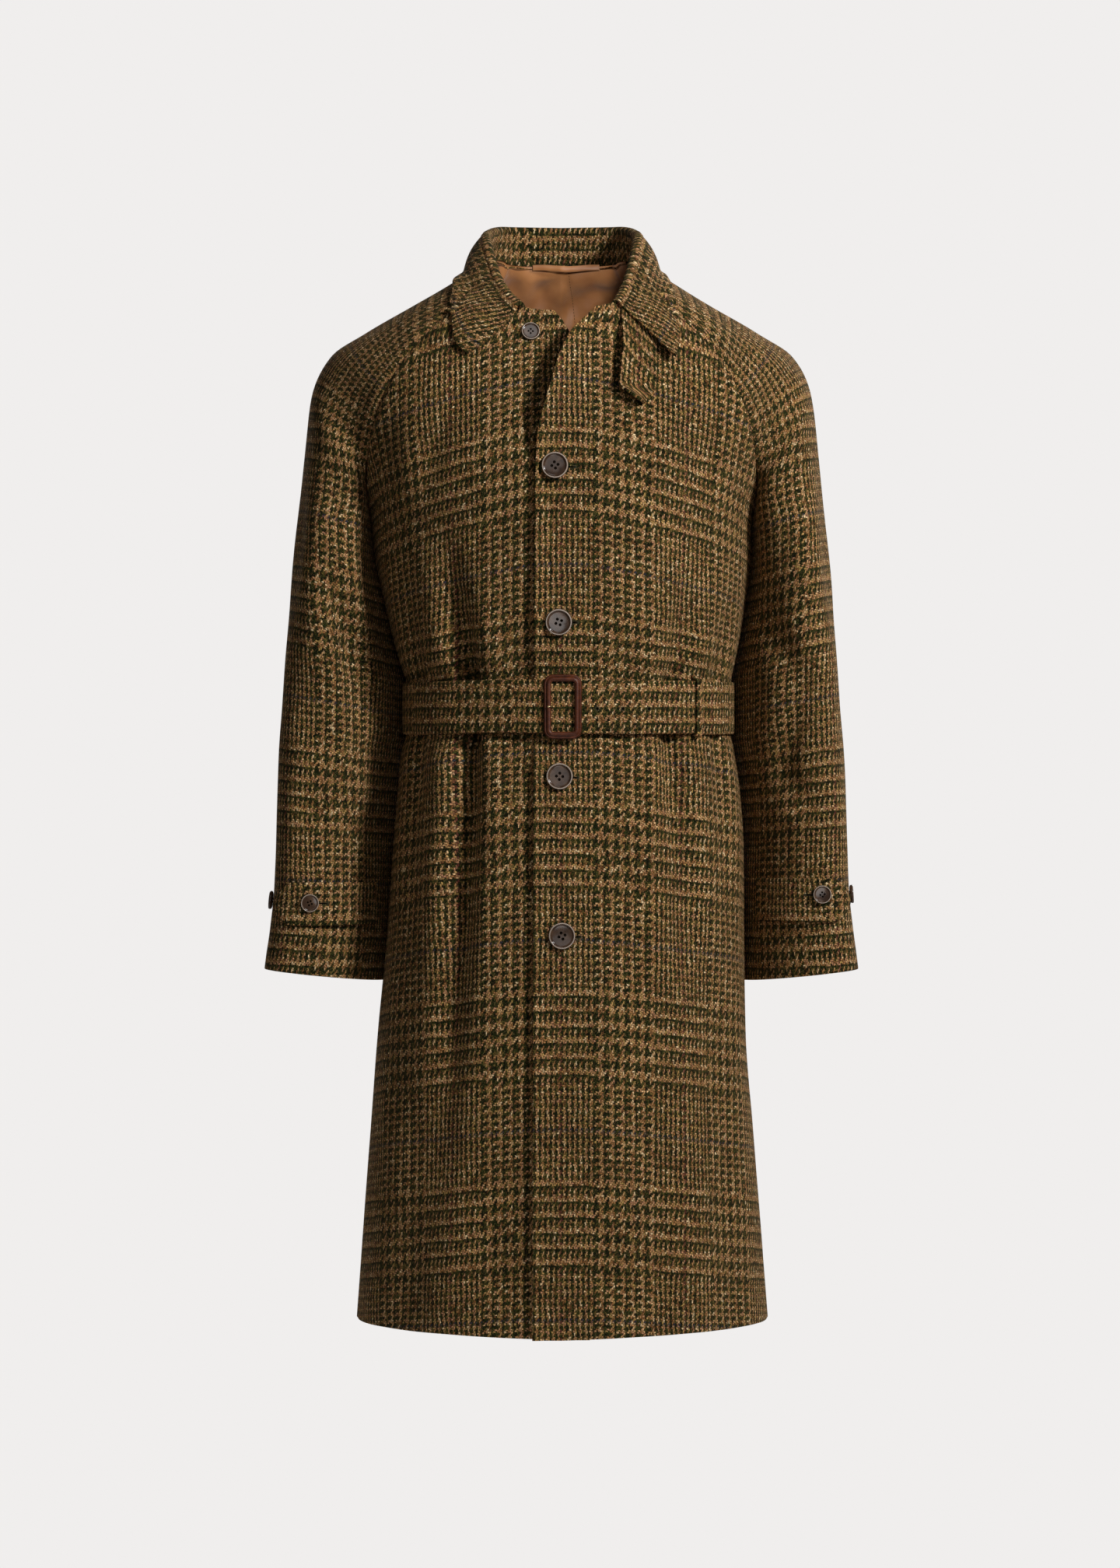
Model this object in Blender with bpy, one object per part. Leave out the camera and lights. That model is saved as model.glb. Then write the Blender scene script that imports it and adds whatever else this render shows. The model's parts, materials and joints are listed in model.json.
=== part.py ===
"""Belted balmacaan coat with raglan sleeves, a turn-down collar, a throat tab and cuff straps.

Metres, +Z up, the front faces -Y and +X is the wearer's left. The origin lies between the
shoulders at the height of the front of the neck, where the wearer holds the coat up.
Every cloth piece is a thin wall through sections that are worked out from the tables below.
"""

import math
from collections import namedtuple

import bmesh
import bpy
import numpy as np
from mathutils import Matrix, Vector
from mathutils.bvhtree import BVHTree

for old in list(bpy.data.objects):
    bpy.data.objects.remove(old)

# Walls and gaps
CLOTH = 0.0025
COLLAR_WALL = 0.0036
BELT_WALL = 0.0032
STRAP_WALL = 0.0030
LINING_WALL = 0.0010
SEAM = 0.00036
REST = 0.0005
BELT_REST = 0.0009
STRAP_REST = 0.0008

# Heights and reaches
HEM = -1.052
UNDERARM = -0.222
BELT_HEIGHT = -0.4142
BELT_WIDTH = 0.054
OVERLAP_LIFT = CLOTH + 0.0007
OVERLAP_FADE = (0.040, 0.105)
SQUARE = 0.61
CENTRE_HANDLE = 0.5
SEAM_HANDLE = 0.385
SEAM_RISE = 0.55
HEM_RISE = 0.0055

LEFT, RIGHT = 1, -1

Section = namedtuple("Section", "height left right front back")
BODY = [
    Section(-1.052, 0.2140, 0.2125, 0.174, 0.174),
    Section(-0.950, 0.2065, 0.2055, 0.168, 0.168),
    Section(-0.850, 0.1985, 0.1980, 0.161, 0.162),
    Section(-0.750, 0.1910, 0.1905, 0.154, 0.155),
    Section(-0.650, 0.1895, 0.1810, 0.147, 0.149),
    Section(-0.560, 0.1890, 0.1750, 0.141, 0.143),
    Section(-0.500, 0.1850, 0.1700, 0.136, 0.138),
    Section(-0.456, 0.1785, 0.1655, 0.131, 0.134),
    Section(-0.443, 0.1760, 0.1615, 0.129, 0.132),
    Section(-0.385, 0.1760, 0.1615, 0.129, 0.132),
    Section(-0.372, 0.1785, 0.1660, 0.1315, 0.134),
    Section(-0.340, 0.1850, 0.1750, 0.138, 0.138),
    Section(-0.290, 0.1930, 0.1870, 0.145, 0.143),
    Section(-0.250, 0.1970, 0.1950, 0.149, 0.146),
    Section(-0.222, 0.1980, 0.1980, 0.150, 0.147),
]

# The raglan seams, from the underarm (step 0) to the neck (step 1). Turn is the angle, from
# straight across, at which the panel reaches the seam.
Seam = namedtuple("Seam", "step x y z turn")
FRONT_SEAM = [
    Seam(0.00, 0.1980, 0.000, -0.222, 90),
    Seam(0.15, 0.2015, -0.045, -0.186, 66),
    Seam(0.30, 0.1990, -0.076, -0.152, 50),
    Seam(0.45, 0.1910, -0.097, -0.117, 38),
    Seam(0.60, 0.1760, -0.106, -0.081, 30),
    Seam(0.75, 0.1520, -0.103, -0.046, 27),
    Seam(0.90, 0.1120, -0.086, -0.005, 35),
    Seam(1.00, 0.0850, -0.066, 0.018, 50),
]
BACK_SEAM = [
    Seam(0.00, 0.1980, 0.000, -0.222, 90),
    Seam(0.15, 0.2005, 0.050, -0.184, 66),
    Seam(0.30, 0.1960, 0.084, -0.146, 50),
    Seam(0.45, 0.1840, 0.106, -0.104, 38),
    Seam(0.60, 0.1600, 0.116, -0.058, 30),
    Seam(0.75, 0.1280, 0.112, -0.010, 26),
    Seam(0.90, 0.0880, 0.090, 0.032, 32),
    Seam(1.00, 0.0580, 0.066, 0.0545, 45),
]
Centre = namedtuple("Centre", "step front_y front_z back_y back_z")
CENTRE_LINE = [
    Centre(0.00, -0.150, -0.222, 0.147, -0.222),
    Centre(0.15, -0.149, -0.184, 0.150, -0.177),
    Centre(0.30, -0.145, -0.148, 0.152, -0.133),
    Centre(0.45, -0.137, -0.112, 0.149, -0.089),
    Centre(0.60, -0.127, -0.078, 0.142, -0.047),
    Centre(0.75, -0.117, -0.048, 0.128, -0.006),
    Centre(0.90, -0.109, -0.022, 0.103, 0.033),
    Centre(1.00, -0.106, -0.009, 0.080, 0.0535),
]
# The top of the shoulder and sleeve over the same steps. Reaches are the handle lengths of the
# curve that leaves the seam and of the one that crosses the top.
Top = namedtuple("Top", "step x y z seam_reach top_reach")
SHOULDER = [
    Top(0.00, 0.2745, 0.000, -0.222, 0.107, 0.107),
    Top(0.15, 0.2675, 0.002, -0.150, 0.055, 0.090),
    Top(0.30, 0.2590, 0.004, -0.085, 0.044, 0.076),
    Top(0.45, 0.2405, 0.006, -0.047, 0.040, 0.062),
    Top(0.60, 0.2035, 0.008, -0.0225, 0.042, 0.055),
    Top(0.75, 0.1500, 0.010, 0.008, 0.042, 0.050),
    Top(0.90, 0.1080, 0.010, 0.0335, 0.034, 0.042),
    Top(1.00, 0.0790, 0.008, 0.052, 0.027, 0.034),
]
# Rings of the sleeve below the underarm. Lean is how far a ring's inner side turns behind the body.
Ring = namedtuple("Ring", "outer_x outer_z inner_left inner_right inner_y inner_z middle front back lean")
SLEEVE = [
    Ring(0.2745, -0.2220, 0.1980, 0.1980, 0.000, -0.222, 0.000, 0.080, 0.080, 0.000),
    Ring(0.2795, -0.2755, 0.1985, 0.1945, 0.016, -0.276, -0.002, 0.080, 0.080, 0.010),
    Ring(0.2827, -0.3160, 0.1900, 0.1825, 0.030, -0.319, -0.004, 0.079, 0.079, 0.017),
    Ring(0.2863, -0.3565, 0.1815, 0.1715, 0.040, -0.361, -0.006, 0.077, 0.076, 0.021),
    Ring(0.2895, -0.4120, 0.1770, 0.1632, 0.044, -0.418, -0.009, 0.074, 0.072, 0.023),
    Ring(0.2928, -0.4600, 0.1790, 0.1660, 0.045, -0.468, -0.012, 0.071, 0.068, 0.023),
    Ring(0.2950, -0.5185, 0.1850, 0.1710, 0.044, -0.529, -0.015, 0.068, 0.064, 0.022),
    Ring(0.2965, -0.5590, 0.1880, 0.1745, 0.042, -0.571, -0.017, 0.065, 0.061, 0.020),
    Ring(0.2983, -0.6040, 0.1895, 0.1785, 0.039, -0.617, -0.019, 0.062, 0.058, 0.018),
    Ring(0.3017, -0.6370, 0.1900, 0.1820, 0.037, -0.651, -0.020, 0.060, 0.056, 0.016),
    Ring(0.3075, -0.6840, 0.1905, 0.1855, 0.035, -0.6975, -0.021, 0.058, 0.054, 0.014),
]
# Where the two front edges run: the left one lies on top and both fall open above the first button.
Edge = namedtuple("Edge", "height left right")
FRONT_EDGE = [
    Edge(-1.052, -0.0290, -0.0290),
    Edge(-0.200, -0.0268, -0.0280),
    Edge(-0.144, -0.0252, -0.0270),
    Edge(-0.102, -0.0158, -0.0240),
    Edge(-0.080, -0.0095, -0.0200),
    Edge(-0.057, -0.0024, -0.0150),
    Edge(-0.037, 0.0070, -0.0100),
    Edge(-0.019, 0.0230, -0.0010),
    Edge(-0.009, 0.0317, 0.0080),
]
# Folds drawn in by the belt. Place is the share of the half row from centre to side; above and
# below are how far the fold runs past the belt's middle.
Fold = namedtuple("Fold", "face side place depth width above below")
FOLDS = [
    Fold("front", LEFT, 0.45, 0.013, 0.0090, 0.10, 0.15),
    Fold("front", RIGHT, 0.44, 0.014, 0.0095, 0.11, 0.22),
    Fold("front", LEFT, 0.80, 0.009, 0.0110, 0.13, 0.17),
    Fold("front", RIGHT, 0.79, 0.009, 0.0110, 0.14, 0.19),
    Fold("back", LEFT, 0.20, 0.011, 0.0105, 0.13, 0.20),
    Fold("back", RIGHT, 0.21, 0.011, 0.0105, 0.13, 0.19),
    Fold("back", LEFT, 0.58, 0.012, 0.0110, 0.14, 0.18),
    Fold("back", RIGHT, 0.59, 0.012, 0.0110, 0.14, 0.18),
]
# The collar from the middle of the back (share 0) to its front end (share 1): the top of the
# stand and the free edge of the leaf.
Leaf = namedtuple("Leaf", "share fold_x fold_y fold_z edge_x edge_y edge_z")
COLLAR = {
    LEFT: [
        Leaf(0.00, 0.0000, 0.0835, 0.0905, 0.0000, 0.115, 0.0240),
        Leaf(0.24, 0.0575, 0.0690, 0.0900, 0.0740, 0.101, 0.0230),
        Leaf(0.50, 0.0775, 0.0080, 0.0765, 0.0975, 0.016, 0.0320),
        Leaf(0.76, 0.0690, -0.0610, 0.0330, 0.1110, -0.080, -0.0220),
        Leaf(0.90, 0.0610, -0.0890, 0.0100, 0.1150, -0.106, -0.0510),
        Leaf(1.00, 0.0530, -0.1055, -0.0050, 0.1135, -0.118, -0.0650),
    ],
    RIGHT: [
        Leaf(0.00, 0.0000, 0.0835, 0.0905, 0.0000, 0.115, 0.0240),
        Leaf(0.24, 0.0575, 0.0690, 0.0900, 0.0740, 0.101, 0.0230),
        Leaf(0.50, 0.0765, 0.0080, 0.0765, 0.0975, 0.016, 0.0320),
        Leaf(0.76, 0.0660, -0.0610, 0.0310, 0.1070, -0.080, -0.0210),
        Leaf(0.90, 0.0540, -0.0905, 0.0080, 0.1045, -0.106, -0.0490),
        Leaf(1.00, 0.0400, -0.1075, -0.0070, 0.0955, -0.116, -0.0590),
    ],
}
COLLAR_END = {LEFT: 0.0545, RIGHT: 0.0415}
FOLD_RADIUS = 0.0026

# Rows and columns of the faceted walls
LOWER_ROWS = [
    HEM, -0.985, -0.915, -0.845, -0.775, -0.710, -0.650, -0.600, -0.560, -0.525, -0.495, -0.470,
    -0.452, -0.4415, -0.4142, -0.3870, -0.376, -0.358, -0.335, -0.305, -0.275, -0.248, UNDERARM,
]
STEPS = [0.00, 0.10, 0.20, 0.32, 0.45, 0.60, 0.75, 0.88, 1.00]
FRONT_COLUMNS = 17
BACK_COLUMNS = 11
SLEEVE_COLUMNS = 8
FINE = 49
# A curve whose two handles are level bulges to this share of their length
BULGE = 0.75


def column(table, name):
    return np.array([getattr(row, name) for row in table], dtype=float)


def read(table, name, where):
    """A column of a table at one place along its first column, on a smooth curve that never overshoots."""
    keys = column(table, table[0]._fields[0])
    values = column(table, name)
    step = np.diff(keys)
    rise = np.diff(values) / step
    slope = np.zeros(len(keys))
    slope[0] = rise[0]
    slope[-1] = rise[-1]
    for k in range(1, len(keys) - 1):
        if rise[k - 1] * rise[k] > 0:
            slope[k] = 2 * rise[k - 1] * rise[k] / (rise[k - 1] + rise[k])
    where = min(max(where, keys[0]), keys[-1])
    k = min(max(np.searchsorted(keys, where, side="right") - 1, 0), len(step) - 1)
    t = (where - keys[k]) / step[k]
    start = values[k] * (1 + 2 * t) * (1 - t) ** 2 + slope[k] * step[k] * t * (1 - t) ** 2
    end = values[k + 1] * t * t * (3 - 2 * t) + slope[k + 1] * step[k] * t * t * (t - 1)
    return start + end


def read_point(table, names, where):
    return np.array([read(table, name, where) for name in names])


def ease(low, high, value):
    t = np.clip((value - low) / (high - low), 0.0, 1.0)
    return t * t * (3 - 2 * t)


def unit(vector):
    return vector / np.linalg.norm(vector, axis=-1, keepdims=True)


def bezier(start, leave, arrive, end, count=FINE):
    t = np.linspace(0.0, 1.0, count)[:, None]
    return (1 - t) ** 3 * start + 3 * (1 - t) ** 2 * t * leave + 3 * (1 - t) * t * t * arrive + t ** 3 * end


def arc_lengths(line):
    return np.concatenate([[0.0], np.cumsum(np.linalg.norm(np.diff(line, axis=0), axis=1))])


def along(line, lengths, at):
    return np.stack([np.interp(at, lengths, line[:, axis]) for axis in range(3)], axis=1)


# The torso: half rows from the centre line to the side seam or the raglan seam


def half_row(face, side, key):
    """One half row. A key at or below 0 is a height under the underarm, above 0 it is a raglan step."""
    sign = -1.0 if face == "front" else 1.0
    if key <= 0:
        height = UNDERARM + key
        half = read(BODY, "left" if side == LEFT else "right", height)
        depth = sign * read(BODY, face, height)
        centre = np.array([0.0, depth, height])
        leave = np.array([SQUARE * half, depth, height])
        arrive = np.array([half, SQUARE * depth, height])
        end = np.array([half, 0.0, height])
    else:
        seam = FRONT_SEAM if face == "front" else BACK_SEAM
        centre = np.array([0.0, read(CENTRE_LINE, face + "_y", key), read(CENTRE_LINE, face + "_z", key)])
        end = read_point(seam, ("x", "y", "z"), key)
        turn = math.radians(read(seam, "turn", key))
        span = np.linalg.norm(end - centre)
        leave = centre + np.array([CENTRE_HANDLE * span, 0.0, 0.0])
        arrive = end - SEAM_HANDLE * span * np.array([math.cos(turn), -sign * math.sin(turn), 0.0])
        arrive[2] = centre[2] + SEAM_RISE * (end[2] - centre[2])
    line = bezier(centre, leave, arrive, end)
    line[:, 0] *= side
    return line


def fold_depth(face, side, share, height, span):
    """How far the cloth is drawn in by the belt's folds at a share of a half row."""
    depth = 0.0
    for fold in FOLDS:
        if (fold.face, fold.side) != (face, side):
            continue
        away = height - BELT_HEIGHT
        reach = fold.above if away > 0 else fold.below
        past = max(abs(away) - BELT_WIDTH / 2, 0.0) / (reach - BELT_WIDTH / 2)
        fade = max(1.0 - past, 0.0) ** 2
        spread = fold.width * (1.0 + 1.2 * past)
        depth += fold.depth * fade * math.exp(-(((share - fold.place) * span / spread) ** 2))
    return depth


def panel_columns(face, side, start, span, count):
    """Shares of a row from its first edge to its seam, with a column on each fold."""
    shares = np.linspace(0.0, 1.0, count)
    for fold in FOLDS:
        if (fold.face, fold.side) == (face, side):
            place = (fold.place * span - start) / (span - start)
            shares[1 + np.argmin(np.abs(shares[1:-1] - place))] = place
    return shares


def panel_grid(face, side, keys, count, edge=None, lift=0.0):
    """Outer points of a panel half, a row for each key, from the centre or the front edge to the seam."""
    belt_line = half_row(face, side, BELT_HEIGHT - UNDERARM)
    belt_span = arc_lengths(belt_line)[-1]
    belt_start = read(FRONT_EDGE, edge, BELT_HEIGHT) if edge else 0.0
    shares = panel_columns(face, side, belt_start, belt_span, count)
    rows = []
    for key in keys:
        own = half_row(face, side, key)
        other = half_row(face, -side, key)[::-1]
        line = np.concatenate([other, own[1:]])
        span = arc_lengths(own)[-1]
        lengths = arc_lengths(line) - arc_lengths(other)[-1]
        start = read(FRONT_EDGE, edge, own[0, 2]) if edge else 0.0
        at = start + (span - start) * shares
        points = along(line, lengths, at)
        ahead = along(line, lengths, at + 0.002) - along(line, lengths, at - 0.002)
        out = unit(np.stack([ahead[:, 1], -ahead[:, 0], np.zeros(count)], axis=1))
        out *= np.where((out * points).sum(axis=1, keepdims=True) < 0, -1.0, 1.0)
        raised = lift * (1.0 - ease(OVERLAP_FADE[0], OVERLAP_FADE[1], at))
        drawn = np.array([fold_depth(face, side, s / span, p[2], span) for s, p in zip(at, points)])
        if key == HEM - UNDERARM:
            share = np.clip(at / span, 0.0, 1.0)
            points[:, 2] += HEM_RISE * share * (2.0 - share)
        rows.append(points + out * (raised - drawn)[:, None])
    return np.array(rows)


def grid_normals(grid, middle):
    """Unit normals of a grid of points, pointing away from the line of middles."""
    across = np.gradient(grid, axis=1)
    down = np.gradient(grid, axis=0)
    normals = unit(np.cross(across, down))
    facing = ((grid - middle) * normals).sum()
    return normals if facing > 0 else -normals


def pull_back(grid, row_slice, edge, inner):
    """Moves one edge column in by half a seam's gap."""
    back = unit(grid[row_slice, inner] - grid[row_slice, edge])
    grid[row_slice, edge] += back * SEAM / 2


KEYS = [height - UNDERARM for height in LOWER_ROWS] + STEPS[1:]
SEAM_ROW = len(LOWER_ROWS) - 1
fronts = {
    LEFT: panel_grid("front", LEFT, KEYS, FRONT_COLUMNS, "left", OVERLAP_LIFT),
    RIGHT: panel_grid("front", RIGHT, KEYS, FRONT_COLUMNS, "right"),
}
backs = {side: panel_grid("back", side, KEYS, BACK_COLUMNS) for side in (LEFT, RIGHT)}


# The sleeves: open arcs over the shoulder down to the underarm, then closed rings to the cuff


def seam_tangent(panel, row, target):
    """The way a sleeve section leaves a seam: in the panel's plane at the neck, turned at the underarm."""
    step = STEPS[row - SEAM_ROW]
    last = len(panel) - 1
    across = panel[row, -1] - panel[row, -2]
    upward = panel[min(row + 1, last), -1] - panel[max(row - 1, SEAM_ROW), -1]
    normal = unit(np.cross(across, upward))
    chord = target - panel[row, -1]
    smooth = unit(chord - normal * (chord @ normal))
    forward = np.array([0.0, 1.0 if panel[-1, -1][1] > 0 else -1.0, 0.0])
    tight = 1.0 - ease(0.0, 0.5, step)
    return unit(smooth * (1.0 - tight) + forward * tight)


def sleeve_arc(start, leave, top, crossing):
    line = bezier(start, start + leave, top + crossing, top)
    lengths = arc_lengths(line)
    return along(line, lengths, np.linspace(0.0, lengths[-1], SLEEVE_COLUMNS + 1))


def sleeve_grid(side):
    rows = []
    for row in range(len(KEYS) - 1, SEAM_ROW, -1):
        step = STEPS[row - SEAM_ROW]
        top = read_point(SHOULDER, ("x", "y", "z"), step) * (side, 1, 1)
        seam_reach = read(SHOULDER, "seam_reach", step)
        top_reach = np.array([0.0, read(SHOULDER, "top_reach", step), 0.0])
        halves = []
        for panel, sign in ((fronts[side], -1), (backs[side], 1)):
            leave = seam_tangent(panel, row, top) * seam_reach
            halves.append(sleeve_arc(panel[row, -1], leave, top, sign * top_reach))
        rows.append(np.concatenate([halves[0], halves[1][-2::-1]]))
    for ring in SLEEVE:
        inner_x = ring.inner_left if side == LEFT else ring.inner_right
        inner = np.array([side * inner_x, ring.inner_y, ring.inner_z])
        outer = np.array([side * ring.outer_x, ring.middle, ring.outer_z])
        front = np.array([0.0, -ring.front / BULGE, 0.0])
        back = np.array([0.0, ring.back / BULGE, 0.0])
        lean = np.array([side * ring.lean, 0.0, 0.0])
        ahead = sleeve_arc(inner, front + lean, outer, front)
        behind = sleeve_arc(inner, back - lean, outer, back)
        rows.append(np.concatenate([ahead, behind[-2::-1]]))
    return np.array(rows)


sleeves = {side: sleeve_grid(side) for side in (LEFT, RIGHT)}
JOINED_ROW = len(STEPS) - 1


# Normals, with one shared normal on both sides of each smooth seam


def body_middle(grid):
    return grid * np.array([0.0, 0.0, 1.0])


def sleeve_middle(grid):
    return np.repeat(grid.mean(axis=1, keepdims=True), grid.shape[1], axis=1)


back = np.concatenate([backs[RIGHT][:, ::-1], backs[LEFT][:, 1:]], axis=1)
back_normals = grid_normals(back, body_middle(back))
BACK_EDGE = {LEFT: -1, RIGHT: 0}
front_normals = {side: grid_normals(fronts[side], body_middle(fronts[side])) for side in fronts}
sleeve_normals = {side: grid_normals(sleeves[side], sleeve_middle(sleeves[side])) for side in sleeves}


def share_normal(first, first_at, second, second_at):
    """Gives two edges that meet one normal, unless they meet in a sharp valley."""
    if first[first_at] @ second[second_at] > 0.35:
        both = unit(first[first_at] + second[second_at])
        first[first_at] = both
        second[second_at] = both


for side in (LEFT, RIGHT):
    for row in range(SEAM_ROW + 1):
        share_normal(front_normals[side], (row, -1), back_normals, (row, BACK_EDGE[side]))
    for row in range(SEAM_ROW + 1, len(KEYS)):
        section = len(KEYS) - 1 - row
        share_normal(front_normals[side], (row, -1), sleeve_normals[side], (section, 0))
        share_normal(back_normals, (row, BACK_EDGE[side]), sleeve_normals[side], (section, -1))
    for section in range(JOINED_ROW, len(sleeves[side])):
        closing = unit(sleeve_normals[side][section, 0] + sleeve_normals[side][section, -1])
        sleeve_normals[side][section, 0] = closing
        sleeve_normals[side][section, -1] = closing
    pull_back(fronts[side], slice(None), -1, -2)
    pull_back(back, slice(None), BACK_EDGE[side], -2 if side == LEFT else 1)
    pull_back(sleeves[side], slice(0, JOINED_ROW), 0, 1)
    pull_back(sleeves[side], slice(0, JOINED_ROW), -1, -2)
    sleeves[side][JOINED_ROW, (0, -1), 0] += side * SEAM


# Materials and wall building

Finish = namedtuple("Finish", "name colour roughness metallic")
FINISHES = {
    finish.name: finish
    for finish in (
        Finish("tweed", (0.089, 0.052, 0.021), 0.95, 0.0),
        Finish("lining", (0.165, 0.072, 0.026), 0.45, 0.0),
        Finish("leather", (0.060, 0.018, 0.009), 0.50, 0.0),
        Finish("horn", (0.022, 0.011, 0.007), 0.30, 0.0),
        Finish("brass", (0.55, 0.42, 0.20), 0.35, 1.0),
    )
}


def material(piece, finish_name):
    """The piece's own material in one of the coat's finishes."""
    finish = FINISHES[finish_name]
    made = bpy.data.materials.new(piece + "_" + finish.name)
    made.use_nodes = True
    shader = made.node_tree.nodes["Principled BSDF"]
    shader.inputs["Base Color"].default_value = (*finish.colour, 1.0)
    shader.inputs["Roughness"].default_value = finish.roughness
    shader.inputs["Metallic"].default_value = finish.metallic
    return made


def place_mesh(name, mesh, finish_name, smooth_angle=40):
    mesh.shade_smooth()
    mesh.set_sharp_from_angle(angle=math.radians(smooth_angle))
    made = bpy.data.objects.new(name, mesh)
    made.data.materials.append(material(name, finish_name))
    bpy.context.scene.collection.objects.link(made)
    return made


def wall(name, outer, inner, finish_name, joined_row=None):
    """A closed wall between two grids. From joined_row on, the first and last columns are one."""
    rows, columns = outer.shape[:2]
    joined_row = rows if joined_row is None else joined_row
    shape = bmesh.new()
    corners = []
    for grid in (outer, inner):
        lines = []
        for r in range(rows):
            line = [shape.verts.new(point) for point in grid[r]]
            if r >= joined_row:
                shape.verts.remove(line[-1])
                line[-1] = line[0]
            lines.append(line)
        corners.append(lines)
    out, into = corners
    for r in range(rows - 1):
        for c in range(columns - 1):
            for side in (out, into):
                shape.faces.new((side[r][c], side[r][c + 1], side[r + 1][c + 1], side[r + 1][c]))
    for r in (0, rows - 1):
        for c in range(columns - 1):
            shape.faces.new((out[r][c], out[r][c + 1], into[r][c + 1], into[r][c]))
    for r in range(min(rows - 1, joined_row)):
        for c in (0, columns - 1):
            shape.faces.new((out[r][c], out[r + 1][c], into[r + 1][c], into[r][c]))
    bmesh.ops.recalc_face_normals(shape, faces=shape.faces)
    mesh = bpy.data.meshes.new(name)
    shape.to_mesh(mesh)
    shape.free()
    return place_mesh(name, mesh, finish_name)


def surface_tree(grids):
    """A search tree over outer surfaces, each a grid with its normals."""
    points, faces = [], []
    for grid, normals in grids:
        first = len(points)
        rows, columns = grid.shape[:2]
        points.extend(Vector(point) for point in grid.reshape(-1, 3))
        across, down = grid[0, 1] - grid[0, 0], grid[1, 0] - grid[0, 0]
        turned = np.cross(across, down) @ normals[0, 0] < 0
        for r in range(rows - 1):
            for c in range(columns - 1):
                a = first + r * columns + c
                face = (a, a + 1, a + columns + 1, a + columns)
                faces.append(face[::-1] if turned else face)
    return BVHTree.FromPolygons(points, faces)


def raise_clear(grid, tree, clearance, rounds=5):
    """Pushes a sheet out until every part of it clears the surfaces under it."""
    samples = [(u, v) for u in (0.0, 0.5, 1.0) for v in (0.0, 0.5, 1.0)]
    for _ in range(rounds):
        push = np.zeros_like(grid)
        for r in range(grid.shape[0] - 1):
            for c in range(grid.shape[1] - 1):
                for u, v in samples:
                    weights = (((0, 0), (1 - u) * (1 - v)), ((0, 1), (1 - u) * v),
                               ((1, 0), u * (1 - v)), ((1, 1), u * v))
                    point = sum(grid[r + i, c + j] * w for (i, j), w in weights)
                    found, normal, _, _ = tree.find_nearest(Vector(point))
                    need = clearance - (Vector(point) - found).dot(normal)
                    if need <= 0:
                        continue
                    for (i, j), weight in weights:
                        if weight > 0 and np.linalg.norm(push[r + i, c + j]) < need:
                            push[r + i, c + j] = np.array(normal) * need
        if not push.any():
            break
        grid += push


NAMES = {LEFT: "left", RIGHT: "right"}
for side in (LEFT, RIGHT):
    outer, normals = fronts[side], front_normals[side]
    wall("front_" + NAMES[side], outer, outer - normals * CLOTH, "tweed")
    outer, normals = sleeves[side], sleeve_normals[side]
    wall("sleeve_" + NAMES[side], outer, outer - normals * CLOTH, "tweed", JOINED_ROW)
# The back is cut in two halves that meet in a seam down the middle
BACK_MIDDLE = BACK_COLUMNS - 1
for side, half in ((RIGHT, slice(None, BACK_MIDDLE + 1)), (LEFT, slice(BACK_MIDDLE, None))):
    outer, normals = back[:, half].copy(), back_normals[:, half]
    outer[:, -1 if side == RIGHT else 0, 0] += side * SEAM / 2
    wall("back_" + NAMES[side], outer, outer - normals * CLOTH, "tweed")

# The lining shows inside the neck: a thin sheet on the inside of the upper back
LINING_ROWS = slice(SEAM_ROW + 2, None)
lining_out = (back - back_normals * (CLOTH + REST))[LINING_ROWS, 2:-2]
wall("lining_back", lining_out, lining_out - back_normals[LINING_ROWS, 2:-2] * LINING_WALL, "lining")

shells = [(fronts[side], front_normals[side]) for side in (LEFT, RIGHT)]
shells += [(sleeves[side], sleeve_normals[side]) for side in (LEFT, RIGHT)]
shells.append((back, back_normals))
coat_tree = surface_tree(shells)
FORWARD = Vector((0.0, 1.0, 0.0))


def front_point(x, z):
    """The coat's outer surface straight behind a point of the front view, and its normal."""
    found, normal, _, _ = coat_tree.ray_cast(Vector((x, -1.0, z)), FORWARD)
    return np.array(found), np.array(normal)


# The throat tab hangs from under the left collar leaf and ends in a point
Tab = namedtuple("Tab", "inner outer height drop")
THROAT_TAB = [
    Tab(0.0605, 0.0960, -0.0090, 0.030),
    Tab(0.0600, 0.0962, -0.0220, 0.024),
    Tab(0.0595, 0.0964, -0.0360, 0.017),
    Tab(0.0590, 0.0965, -0.0500, 0.010),
    Tab(0.0578, 0.0955, -0.0800, 0.000),
    Tab(0.0690, 0.0890, -0.0960, 0.000),
    Tab(0.0790, 0.0835, -0.1070, 0.000),
]
TAB_COLUMNS = 5
tab_under = []
for row in THROAT_TAB:
    places = np.linspace(0.0, 1.0, TAB_COLUMNS)
    spots = [front_point(row.inner + (row.outer - row.inner) * t, row.height - row.drop * t) for t in places]
    tab_under.append([point + normal * STRAP_REST for point, normal in spots])
tab_under = np.array(tab_under)
raise_clear(tab_under, coat_tree, STRAP_REST)
tab_normals = grid_normals(tab_under, body_middle(tab_under))
tab_over = tab_under + tab_normals * STRAP_WALL
wall("throat_tab", tab_over, tab_under, "tweed")

# The collar: a stand on the neck edge that turns over into the leaf


def neck_line(side):
    """The neck edge of one half, from the middle of the back to the collar's front end."""
    across_back = back[-1, BACK_COLUMNS - 1:] if side == LEFT else back[-1, BACK_COLUMNS - 1::-1]
    over = sleeves[side][0, ::-1]
    across_front = fronts[side][-1, ::-1]
    keep = across_front[:, 0] * side > COLLAR_END[side]
    line = np.concatenate([across_back, over[1:], across_front[keep][1:]])
    return line


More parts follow.
